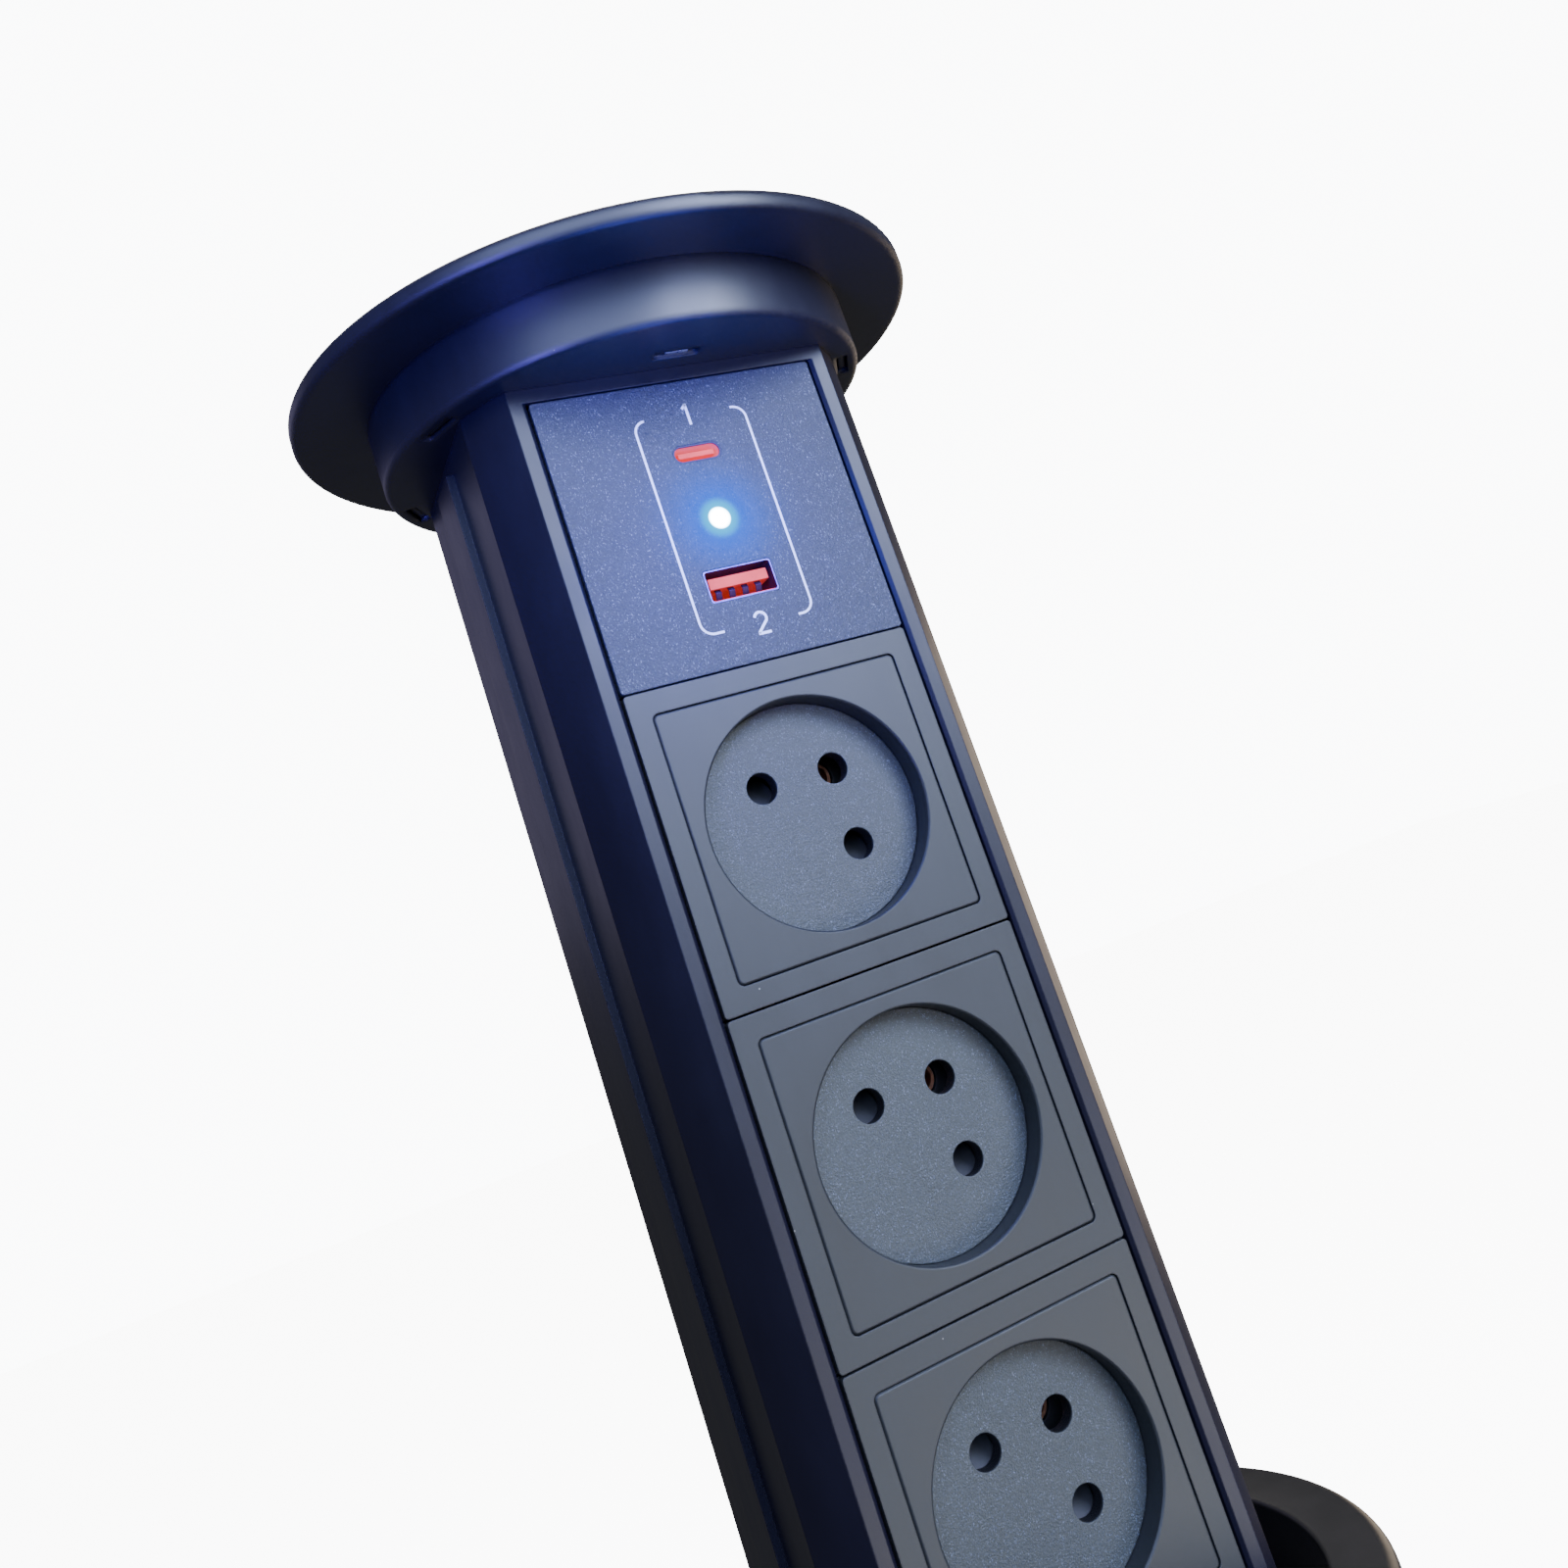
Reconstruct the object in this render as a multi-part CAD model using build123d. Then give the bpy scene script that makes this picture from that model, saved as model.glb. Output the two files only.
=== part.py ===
from build123d import *
import os
from math import cos, radians, sin

# Pop-up desk socket tower: a flat-fronted round column that rises out of a ring in the worktop.
# Origin: on the column's axis, on the worktop's top surface. +Z is up and the sockets face -Y.
# It is drawn raised, with its cap at full height. All lengths are in millimetres, all angles in degrees.

# Driving sizes of the whole tower
socket_count = 3
well_radius = 19.6
insert_margin = 2.9
frame_side_margin = 3.85
frame_end_margin = 4.075
usb_height = 52.25
column_front = 29.16
side_flat_depth = 5.4
ring_overhang = 5.1
ring_height = 11.6
cap_thickness = 3.6
bezel_height = 4.0
collar_length = 62.0
worktop_thickness = 25.0

# Clearances
cut_overrun = 1.0
seat_gap = 0.1
guide_gap = 0.35
module_gap = 0.35
header_gap = 0.15
nest_floor_gap = 0.4
screw_gap = 0.1

# Column shell: a moulded tube with a front window, guide keys outside and screw channels inside
column_wall = 2.2
lip_width = 2.3
lip_bevel = 0.6
window_side_gap = 0.55
foot_gap = 4.0
header_height = 2.55
key_width = 11.6
key_height = 1.4
key_top_gap = 3.4
rail_thickness = 1.8
rail_inset = 0.2
channel_radius = 3.3
front_channel_inset = 3.1
front_channel_depth = 15.2
rear_channel_inset = 1.3
rear_channel_angle = 35.4
screw_radius = 1.7
screw_length = 14.0
screw_head_radius = 3.0
screw_head_height = 1.8

# Modules in the window
module_recess = 0.45
flange_reach = 2.2
flange_thickness = 1.9
flange_play = 0.1
module_depth = 9.2
frame_corner = 0.6

# Socket insert, well and pins
insert_gap = 0.15
insert_corner = 1.0
insert_thickness = 2.4
well_depth = 4.6
well_wall = 1.4
well_tube_length = 17.2
mouth_chamfer = 0.3
throat_gap = 0.5
pin_offset = 6.72
pin_hole_radius = 2.72
floor_thickness = 3.0
chamber_depth = 5.16
chamber_wall = 1.4
guide_rib = 1.0

# Shutter and its spring
shutter_thickness = 4.6
shutter_front_gap = 0.2
shutter_pad_radius = 3.3
shutter_web = 3.2
shutter_travel = 6.05
ramp_land = 0.5
ramp_foot = 0.6
spring_radius = 1.1
spring_bore = 0.75
spring_seat = 2.6

# Contacts, their block and the bars that feed them
contact_bore = 2.25
contact_wall = 0.6
contact_length = 12.0
contact_slit = 0.8
contact_slit_length = 8.0
contact_tail_width = 2.4
contact_tail_reach = 2.0
contact_front_gap = 0.2
cavity_gap = 0.3
block_rear_wall = 2.6
block_flange_thickness = 2.0
bar_width = 4.0
bar_thickness = 1.0
bar_end_margin = 4.0

# USB module
panel_thickness = 2.4
skirt_wall = 1.8
cover_inset = 0.35
cover_wall = 1.6
cover_depth = 25.0
usb_a_drop = 11.775
usb_a_width = 12.2
usb_a_height = 5.3
usb_a_wall = 0.25
usb_a_corner = 0.5
usb_c_rise = 12.475
usb_c_width = 8.4
usb_c_height = 2.7
usb_c_wall = 0.25
port_gap = 0.05
tongue_a_width = 11.0
tongue_a_height = 1.9
tongue_a_rise = 0.7
tongue_a_setback = 1.0
tongue_c_width = 6.7
tongue_c_height = 0.9
tongue_c_setback = 0.8
contact_strip_width = 1.0
contact_strip_height = 0.35
contact_strip_pitch = 2.5
contact_strip_count = 4
indicator_radius = 1.5
board_gap = 2.3
board_thickness = 1.6
board_standoff = 12.36
post_radius = 2.0
post_inset = 3.5
transformer_size = 14.0
transformer_depth = 11.0
capacitor_radius = 3.2
capacitor_length = 10.0
capacitor_count = 2
feed_pin_radius = 0.8
feed_pin_inset = 2.2

# Cap
cap_top_round = 1.4
cap_rim_round = 0.7
ring_wall = 2.4
ring_floor = 3.0
ring_round = 0.8
spigot_height = 2.0
spigot_wall = 2.2
hook_width = 6.4
hook_thickness = 1.2
hook_tip_gap = 0.6
slot_width = 8.4
slot_breadth = 2.2
front_hook_inset = 4.94
side_hook_inset = 1.8
side_hook_angles = (65.0, 117.0, 180.0, 243.0, 295.0)

# Desk mount: bezel, collar, gasket, guide sleeve, wiper, catch, washer and nut
nest_gap = 2.7
sleeve_wall = 6.3
collar_wall = 4.0
bezel_round = 2.0
bezel_inner_round = 0.8
collar_chamfer = 0.8
gasket_inset = 1.5
gasket_width = 5.0
gasket_thickness = 1.0
bezel_rim = 1.85
sleeve_flange_inset = 0.3
sleeve_flange_thickness = 3.0
sleeve_screw_inset = 1.8
sleeve_screw_radius = 0.9
sleeve_screw_head_radius = 1.4
sleeve_screw_head_height = 1.0
sleeve_screw_length = 9.0
sleeve_screw_count = 4
wiper_depth = 5.0
wiper_thickness = 3.0
wiper_width = 3.0
wiper_gap = 0.3
catch_depth = 24.0
catch_nose_width = 9.0
catch_nose_height = 6.0
catch_nose_ramp = 1.4
catch_nose_length = 2.55
catch_head_width = 13.0
catch_head_height = 10.0
catch_head_thickness = 1.2
catch_travel = 1.5
catch_gap = 0.15
catch_spring_strip = 0.35
notch_gap = 0.7
washer_width = 14.0
washer_thickness = 2.0
washer_gap = 0.4
nut_wall = 7.0
nut_height = 14.0
nut_gap = 0.3
nut_lug_count = 8
nut_lug_width = 9.0
nut_lug_reach = 5.0
nut_chamfer = 1.2

# Foot cap and cord gland
foot_rim = 4.5
foot_thickness = 5.0
foot_spigot_height = 6.0
foot_spigot_wall = 3.0
foot_spigot_front = 8.0
foot_chamfer = 1.0
counterbore_gap = 0.3
gland_shank_radius = 8.0
gland_shank_rise = 7.0
gland_hex_radius = 11.5
gland_hex_height = 5.0
gland_cup_radius = 9.0
gland_cup_height = 9.0
gland_throat_gap = 1.0
gland_seal_radius = 6.4
gland_bore = 4.3
gland_seal_length = 12.0
gland_seal_seat = 1.0
gland_nut_radius = 12.0
gland_nut_height = 13.0
gland_nut_wall = 1.6
gland_nut_gap = 3.0

# Radii and half widths worked out from the sizes above, from the modules outwards
insert_size = 2 * (well_radius + insert_margin)
module_width = insert_size + 2 * frame_side_margin
socket_height = insert_size + 2 * frame_end_margin
module_half = module_width / 2
window_half = module_half + window_side_gap
flange_half = module_half + flange_reach
front_half_width = window_half + lip_bevel + lip_width
column_radius = (front_half_width ** 2 + column_front ** 2) ** 0.5
column_half_width = column_radius - side_flat_depth
ring_radius = column_radius + ring_overhang
nest_radius = ring_radius + nest_gap
collar_bore = column_radius + sleeve_wall
collar_radius = collar_bore + collar_wall
gasket_inner = collar_radius + gasket_inset
gasket_outer = gasket_inner + gasket_width
bezel_radius = gasket_outer + bezel_rim
cap_radius = bezel_radius
sleeve_flange_radius = collar_radius - sleeve_flange_inset
sleeve_screw_circle = collar_bore + sleeve_screw_inset
washer_radius = collar_radius + washer_width
nut_radius = collar_radius + nut_wall
foot_radius = column_radius + foot_rim
front_hook_radius = column_front + front_hook_inset
side_hook_radius = column_radius + side_hook_inset
rear_channel_radius = column_radius - column_wall - rear_channel_inset
board_width = module_width - 2 * (cover_inset + cover_wall + board_gap)
board_height = usb_height - 2 * (cover_inset + cover_wall + board_gap)

# Levels worked out from the sizes above
shell_front = -column_front
front = shell_front + module_recess
window_bottom = bezel_height + foot_gap
socket_pitch = socket_height + module_gap
first_module = window_bottom + module_gap
usb_bottom = first_module + socket_count * socket_pitch
usb_top = usb_bottom + usb_height
usb_centre = usb_bottom + usb_height / 2
header_bottom = usb_top + header_gap
column_top = header_bottom + header_height
ring_top = column_top + ring_height
collar_bottom = -collar_length
column_bottom = collar_bottom - sleeve_flange_thickness
nest_floor = bezel_height - ring_height - nest_floor_gap
lift_travel = ring_top - bezel_height
flange_front = shell_front + column_wall + flange_play
flange_back = flange_front + flange_thickness
module_back = front + module_depth
well_floor = front + well_depth
floor_back = well_floor + floor_thickness
core_back = floor_back + chamber_depth
tube_back = front + well_tube_length
tube_radius = well_radius + well_wall
core_radius = well_radius - seat_gap
chamber_radius = core_radius - chamber_wall
contact_front = core_back + contact_front_gap
contact_back = contact_front + contact_length
contact_radius = contact_bore + contact_wall
cavity_radius = contact_radius + cavity_gap
cavity_back = contact_back + contact_tail_reach / 2
block_back = cavity_back + block_rear_wall
bar_front = block_back + contact_tail_reach
panel_back = front + panel_thickness
board_front = panel_back + board_standoff
board_back = board_front + board_thickness
cover_back = module_back + cover_depth
board_bottom = usb_centre - board_height / 2
feed_level = board_bottom + feed_pin_inset
catch_level = -catch_depth
front_channel_x = column_half_width - column_wall - front_channel_inset
front_channel_y = shell_front + front_channel_depth
rear_channel_x = rear_channel_radius * sin(radians(rear_channel_angle))
rear_channel_y = rear_channel_radius * cos(radians(rear_channel_angle))
screw_hole = screw_radius + screw_gap
channel_places = [
    (-front_channel_x, front_channel_y),
    (front_channel_x, front_channel_y),
    (-rear_channel_x, rear_channel_y),
    (rear_channel_x, rear_channel_y),
]
# Pins of one socket: name, side of the centre along X and along Z, and the side its tail leaves on
pin_places = [("live", -1, 1, -1), ("earth", 1, 1, 1), ("neutral", 1, -1, -1)]
shuttered_places = [place for place in pin_places if place[0] != "earth"]


def box(x_low, x_high, y_low, y_high, z_low, z_high):
    """A block between two corners."""
    size = (x_high - x_low, y_high - y_low, z_high - z_low)
    middle = ((x_low + x_high) / 2, (y_low + y_high) / 2, (z_low + z_high) / 2)
    return Pos(*middle) * Box(*size)


def rise(sketch, bottom, top):
    """A plan sketch raised from one level to another."""
    return extrude(Plane.XY.offset(bottom) * sketch, amount=top - bottom)


def slab(sketch, front_y, back_y):
    """A front-view sketch (X across, Z up) made solid between two depths."""
    plane = Plane(origin=(0, back_y, 0), x_dir=(1, 0, 0), z_dir=(0, -1, 0))
    return extrude(plane * sketch, amount=back_y - front_y)


def rod(radius, front_y, back_y, x=0, z=0):
    """A round rod along Y."""
    return slab(Pos(x, z) * Circle(radius), front_y, back_y)


def disc(radius, bottom, top):
    """A round plate about the column's axis."""
    return rise(Circle(radius), bottom, top)


def turned(outline):
    """A solid turned about the column's axis from (radius, height) points."""
    points = [(radius, 0, height) for radius, height in outline]
    return revolve(make_face(Polyline(*points, close=True)), Axis.Z)


def edges_at(solid, radius, height):
    """The round edges of that radius at that height."""
    tolerance = column_wall / 1000
    round_edges = solid.edges().filter_by(GeomType.CIRCLE)
    level = round_edges.filter_by(lambda edge: abs(edge.arc_center.Z - height) < tolerance)
    return level.filter_by(lambda edge: abs(edge.radius - radius) < tolerance)


def column_section(offset=0.0, keys=False):
    """The column's outline in plan, grown by an offset."""
    radius = column_radius + offset
    half_width = column_half_width + offset
    front_flat = column_front + offset
    flat_front = Pos(0, (radius - front_flat) / 2) * Rectangle(2 * radius, radius + front_flat)
    section = Circle(radius) & Rectangle(2 * half_width, 2 * radius) & flat_front
    if keys:
        section += Rectangle(2 * (half_width + key_height), key_width + 2 * offset)
    return section


def window_section():
    """The front window in plan, with bevelled edges."""
    bevel_back = shell_front + lip_bevel
    outer = window_half + lip_bevel + cut_overrun
    inner_back = shell_front + column_wall + cut_overrun
    points = [
        (-outer, shell_front - cut_overrun),
        (outer, shell_front - cut_overrun),
        (window_half, bevel_back),
        (window_half, inner_back),
        (-window_half, inner_back),
        (-window_half, bevel_back),
    ]
    return make_face(Polyline(*points, close=True))


def column_shell():
    inner = column_section(-column_wall)
    walls = column_section() - inner
    rail_front = flange_back + flange_play
    rail_back = rail_front + rail_thickness
    rail_middle = (rail_front + rail_back) / 2
    rail_inner = module_half + rail_inset + window_side_gap
    rail_reach = column_radius - rail_inner
    for side in (-1, 1):
        rail = Pos(side * (rail_inner + rail_reach / 2), rail_middle) * Rectangle(rail_reach, rail_thickness)
        walls += rail & column_section(-column_wall / 2)
    for x, y in channel_places:
        walls += Pos(x, y) * Circle(channel_radius) & column_section()
    for x, y in channel_places:
        walls -= Pos(x, y) * Circle(screw_hole)
    shell = rise(walls - window_section(), column_bottom, header_bottom)
    shell += rise(walls, header_bottom, column_top)
    key_outline = Rectangle(2 * (column_half_width + key_height), key_width) - inner
    shell += rise(key_outline, column_bottom, column_top - key_top_gap)
    notch_half_width = catch_nose_width / 2 + notch_gap
    notch_half_height = catch_nose_height / 2 + notch_gap
    notch = box(-notch_half_width, notch_half_width, column_radius - column_wall - cut_overrun,
                column_radius + cut_overrun, catch_level - notch_half_height, catch_level + notch_half_height)
    return shell - notch


def module_flanges(height, middle):
    """The side flanges that slide behind the window's lips."""
    return box(-flange_half, flange_half, flange_front, flange_back, middle - height / 2, middle + height / 2)


def blank_panel():
    """The plain front below the sockets, mostly under the worktop."""
    height = window_bottom - column_bottom
    middle = (window_bottom + column_bottom) / 2
    plate = box(-module_half, module_half, front, flange_back, column_bottom, window_bottom)
    return plate + module_flanges(height, middle)


def socket_frame(middle):
    outline = Pos(0, middle) * RectangleRounded(module_width, socket_height, frame_corner)
    body = slab(outline, front, module_back) + module_flanges(socket_height, middle)
    mouth = insert_size + 2 * insert_gap
    body -= slab(Pos(0, middle) * RectangleRounded(mouth, mouth, insert_corner + insert_gap),
                 front - cut_overrun, front + insert_thickness)
    throat = tube_radius + throat_gap
    return body - slab(Pos(0, middle) * Rectangle(2 * throat, 2 * throat), front, module_back + cut_overrun)


def socket_insert(middle):
    outline = Pos(0, middle) * RectangleRounded(insert_size, insert_size, insert_corner)
    body = slab(outline, front, front + insert_thickness) + rod(tube_radius, front, tube_back, z=middle)
    body -= rod(well_radius, front - cut_overrun, tube_back + cut_overrun, z=middle)
    mouth = body.edges().filter_by(GeomType.CIRCLE).group_by(Axis.Y)[0]
    return chamfer(mouth, mouth_chamfer)


def socket_core(middle):
    """The well's floor with its three pin holes, and the shutter's chamber behind it."""
    body = rod(core_radius, well_floor, core_back, z=middle)
    body -= rod(chamber_radius, floor_back, core_back + cut_overrun, z=middle)
    for name, x_side, z_side, tail_side in pin_places:
        body -= rod(pin_hole_radius, well_floor - cut_overrun, floor_back + cut_overrun,
                    x_side * pin_offset, middle + z_side * pin_offset)
    rib_low = pin_offset + shutter_pad_radius + shutter_front_gap
    rib_back = floor_back + shutter_front_gap + shutter_thickness
    for name, x_side, z_side, tail_side in shuttered_places:
        z_middle = middle + z_side * pin_offset - shutter_travel / 2
        x_ends = sorted((x_side * rib_low, x_side * (rib_low + guide_rib)))
        body += box(*x_ends, floor_back - seat_gap, rib_back,
                    z_middle - shutter_travel, z_middle + shutter_travel)
    return body


def shutter(middle):
    """The slide that closes the live and neutral holes; both pins together push its ramps down."""
    shutter_front = floor_back + shutter_front_gap
    shutter_back = shutter_front + shutter_thickness
    pad_distance = 2 * pin_offset * 2 ** 0.5
    plan = Pos(0, middle) * Rot(0, 0, -45) * Rectangle(pad_distance, shutter_web)
    for name, x_side, z_side, tail_side in shuttered_places:
        plan += Pos(x_side * pin_offset, middle + z_side * pin_offset) * Circle(shutter_pad_radius)
    plan += Pos(-shutter_web / 2, middle) * Rectangle(spring_seat, shutter_web)
    body = slab(plan, shutter_front, shutter_back)
    for name, x_side, z_side, tail_side in shuttered_places:
        x_low = x_side * pin_offset - shutter_pad_radius
        z_high = middle + z_side * pin_offset + shutter_pad_radius
        z_low = z_high - 2 * shutter_pad_radius + ramp_land
        ramp = make_face(Polyline(
            (x_low, shutter_front, z_low),
            (x_low, shutter_back - ramp_foot, z_high),
            (x_low, shutter_back - ramp_foot, z_high + cut_overrun),
            (x_low, shutter_front - cut_overrun, z_high + cut_overrun),
            (x_low, shutter_front - cut_overrun, z_low),
            close=True,
        ))
        body -= extrude(ramp, amount=2 * shutter_pad_radius, dir=(1, 0, 0))
    return body


def shutter_spring(middle):
    """The small coil spring that lifts the shutter back, as the tube that its coils fill."""
    y_middle = floor_back + shutter_front_gap + shutter_thickness / 2
    spring_top = middle - shutter_web / 2
    spring_bottom = middle - chamber_radius + guide_gap
    tube = Pos(-shutter_web / 2, y_middle) * (Circle(spring_radius) - Circle(spring_bore))
    return rise(tube, spring_bottom, spring_top)


def contact_block(middle):
    body = rod(core_radius, core_back, block_back, z=middle)
    body += rod(tube_radius, tube_back, tube_back + block_flange_thickness, z=middle)
    for name, x_side, z_side, tail_side in pin_places:
        x, z = x_side * pin_offset, middle + z_side * pin_offset
        body -= rod(cavity_radius, core_back - cut_overrun, cavity_back, x, z)
        tail_x = x + tail_side * (contact_bore + contact_wall / 2)
        slot_half_width = contact_wall / 2 + cavity_gap / 2
        slot_half_height = contact_tail_width / 2 + cavity_gap / 2
        body -= box(tail_x - slot_half_width, tail_x + slot_half_width, cavity_back - seat_gap,
                    block_back + cut_overrun, z - slot_half_height, z + slot_half_height)
    return body


def contact(x, z, tail_side):
    """A split brass sleeve with a tail to its bar."""
    sleeve = rod(contact_radius, contact_front, contact_back, x, z)
    sleeve -= rod(contact_bore, contact_front - cut_overrun, contact_back + cut_overrun, x, z)
    slit_half = contact_slit / 2
    sleeve -= box(x - slit_half, x + slit_half, contact_front - cut_overrun,
                  contact_front + contact_slit_length, z - contact_radius, z + contact_radius)
    tail_ends = sorted((x + tail_side * contact_bore, x + tail_side * contact_radius))
    tail = box(*tail_ends, contact_back - contact_tail_reach, bar_front,
               z - contact_tail_width / 2, z + contact_tail_width / 2)
    return sleeve + tail


def contacts(middle):
    pieces = []
    for name, x_side, z_side, tail_side in pin_places:
        pieces.append(contact(x_side * pin_offset, middle + z_side * pin_offset, tail_side))
    return Compound(children=pieces)


def socket_middle(number):
    """The height of a socket's centre; number 1 is the lowest."""
    return first_module + (number - 1) * socket_pitch + socket_height / 2


def contact_bar(pin_name):
    """The strip that joins one pole of all the sockets, on its contacts' tails."""
    name, x_side, z_side, tail_side = next(place for place in pin_places if place[0] == pin_name)
    x_middle = x_side * pin_offset + tail_side * (contact_bore + contact_wall / 2)
    low = socket_middle(1) + z_side * pin_offset - bar_end_margin
    high = socket_middle(socket_count) + z_side * pin_offset + bar_end_margin
    if pin_name != "earth":
        high = feed_level + feed_pin_inset
    return box(x_middle - bar_width / 2, x_middle + bar_width / 2,
               bar_front, bar_front + bar_thickness, low, high)


def port_a(width, height):
    return Pos(0, usb_centre - usb_a_drop) * RectangleRounded(width, height, usb_a_corner)


def port_c(width, height):
    return Pos(0, usb_centre + usb_c_rise) * SlotOverall(width, height)


def usb_panel():
    outline = Pos(0, usb_centre) * RectangleRounded(module_width, usb_height, frame_corner)
    hollow = Pos(0, usb_centre) * Rectangle(module_width - 2 * skirt_wall, usb_height - 2 * skirt_wall)
    body = slab(outline, front, module_back) + module_flanges(usb_height, usb_centre)
    body -= slab(hollow, panel_back, module_back + cut_overrun)
    post_x = board_width / 2 - post_inset
    post_z = board_height / 2 - post_inset
    for x_side in (-1, 1):
        for z_side in (-1, 1):
            body += rod(post_radius, panel_back - seat_gap, board_front,
                        x_side * post_x, usb_centre + z_side * post_z)
    a_hole = port_a(usb_a_width + 2 * (usb_a_wall + port_gap), usb_a_height + 2 * (usb_a_wall + port_gap))
    c_hole = port_c(usb_c_width + 2 * (usb_c_wall + port_gap), usb_c_height + 2 * (usb_c_wall + port_gap))
    lens_hole = Pos(0, usb_centre) * Circle(indicator_radius + port_gap)
    return body - slab(a_hole + c_hole + lens_hole, front - cut_overrun, panel_back + cut_overrun)


def usb_a_shell():
    outer = port_a(usb_a_width + 2 * usb_a_wall, usb_a_height + 2 * usb_a_wall)
    inner = port_a(usb_a_width, usb_a_height)
    return slab(outer - inner, front + port_gap, board_front)


def usb_c_shell():
    outer = port_c(usb_c_width + 2 * usb_c_wall, usb_c_height + 2 * usb_c_wall)
    inner = port_c(usb_c_width, usb_c_height)
    return slab(outer - inner, front + port_gap, board_front)


def usb_a_tongue():
    z_middle = usb_centre - usb_a_drop + tongue_a_rise
    outline = Pos(0, z_middle) * Rectangle(tongue_a_width, tongue_a_height)
    return slab(outline, front + tongue_a_setback, board_front)


def usb_c_tongue():
    z_middle = usb_centre + usb_c_rise
    outline = Pos(0, z_middle) * Rectangle(tongue_c_width, tongue_c_height)
    return slab(outline, front + tongue_c_setback, board_front)


def usb_a_contacts():
    """The spring strips under the tongue."""
    z_high = usb_centre - usb_a_drop + tongue_a_rise - tongue_a_height / 2
    strips = []
    for number in range(contact_strip_count):
        x = (number - (contact_strip_count - 1) / 2) * contact_strip_pitch
        strips.append(box(x - contact_strip_width / 2, x + contact_strip_width / 2,
                          front + 2 * tongue_a_setback, board_front, z_high - contact_strip_height, z_high))
    return Compound(children=strips)


def indicator_lens():
    return rod(indicator_radius, front, board_front, z=usb_centre)


def usb_board():
    return slab(Pos(0, usb_centre) * Rectangle(board_width, board_height), board_front, board_back)


def usb_transformer():
    x_middle = board_width / 4
    return slab(Pos(x_middle, usb_centre + board_height / 4) * Rectangle(transformer_size, transformer_size),
                board_back, board_back + transformer_depth)


def usb_capacitors():
    pieces = []
    for number in range(capacitor_count):
        x = -board_width / 4
        z = usb_centre + board_height / 4 - number * 3 * capacitor_radius
        pieces.append(rod(capacitor_radius, board_back, board_back + capacitor_length, x, z))
    return Compound(children=pieces)


def feed_places():
    """Where the live and neutral bars enter the USB cover."""
    places = []
    for name, x_side, z_side, tail_side in shuttered_places:
        places.append(x_side * pin_offset + tail_side * (contact_bore + contact_wall / 2))
    return places


def usb_feed_pins():
    pins = [rod(feed_pin_radius, board_back, bar_front, x, feed_level) for x in feed_places()]
    return Compound(children=pins)


def usb_rear_cover():
    width = module_width - 2 * cover_inset
    height = usb_height - 2 * cover_inset
    body = slab(Pos(0, usb_centre) * Rectangle(width, height), module_back, cover_back)
    body -= slab(Pos(0, usb_centre) * Rectangle(width - 2 * cover_wall, height - 2 * cover_wall),
                 module_back - cut_overrun, cover_back - cover_wall)
    slot_half = bar_width / 2 + cavity_gap
    for x in feed_places():
        body -= box(x - slot_half, x + slot_half,
                    bar_front - cavity_gap, bar_front + bar_thickness + cavity_gap,
                    usb_bottom, usb_bottom + cover_inset + cover_wall + cut_overrun)
    return body


def hook_places():
    """Where the cap disc's hooks stand: one before the column's flat, the rest round it."""
    places = [(front_hook_radius, 0.0)]
    for angle in side_hook_angles:
        places.append((side_hook_radius, angle))
    return places


def around(angle):
    """A turn about the axis, counted from the front."""
    return Rot(0, 0, angle)


def cap_ring():
    body = disc(ring_radius, column_top, ring_top)
    body -= disc(ring_radius - ring_wall, column_top + ring_floor, ring_top + cut_overrun)
    body = fillet(edges_at(body, ring_radius, column_top), ring_round)
    for radius, angle in hook_places():
        slot = Pos(0, -radius) * Rectangle(slot_width, slot_breadth)
        body -= around(angle) * rise(slot, column_top - cut_overrun, column_top + ring_floor + cut_overrun)
    for x, y in channel_places:
        body -= Pos(x, y) * disc(screw_hole, column_top - cut_overrun, column_top + ring_floor + cut_overrun)
    return body


def cap_disc():
    body = disc(cap_radius, ring_top, ring_top + cap_thickness)
    body = fillet(edges_at(body, cap_radius, ring_top + cap_thickness), cap_top_round)
    body = fillet(edges_at(body, cap_radius, ring_top), cap_rim_round)
    spigot_radius = ring_radius - ring_wall - seat_gap
    spigot_bottom = ring_top - spigot_height
    body += disc(spigot_radius, spigot_bottom, ring_top)
    body -= disc(spigot_radius - spigot_wall, spigot_bottom, ring_top)
    hook_bottom = column_top + hook_tip_gap
    for radius, angle in hook_places():
        hook = Pos(0, -radius) * Rectangle(hook_width, hook_thickness)
        body += around(angle) * rise(hook, hook_bottom, ring_top + seat_gap)
    return body


def screw(x, y, head_level, direction, radius, head_radius, head_height, length):
    """A pan-head screw along Z: its head stands on head_level and its shank runs the other way."""
    head_far = head_level + direction * head_height
    shank_far = head_level - direction * length
    head = disc(head_radius, min(head_level, head_far), max(head_level, head_far))
    shank = disc(radius, min(head_level, shank_far), max(head_level, shank_far))
    return Pos(x, y) * (head + shank)


def screw_set(places, head_level, direction, radius, head_radius, head_height, length):
    return Compound(children=[
        screw(x, y, head_level, direction, radius, head_radius, head_height, length) for x, y in places
    ])


def cap_screws():
    return screw_set(channel_places, column_top + ring_floor, 1, screw_radius, screw_head_radius,
                     screw_head_height, screw_length)


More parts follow.
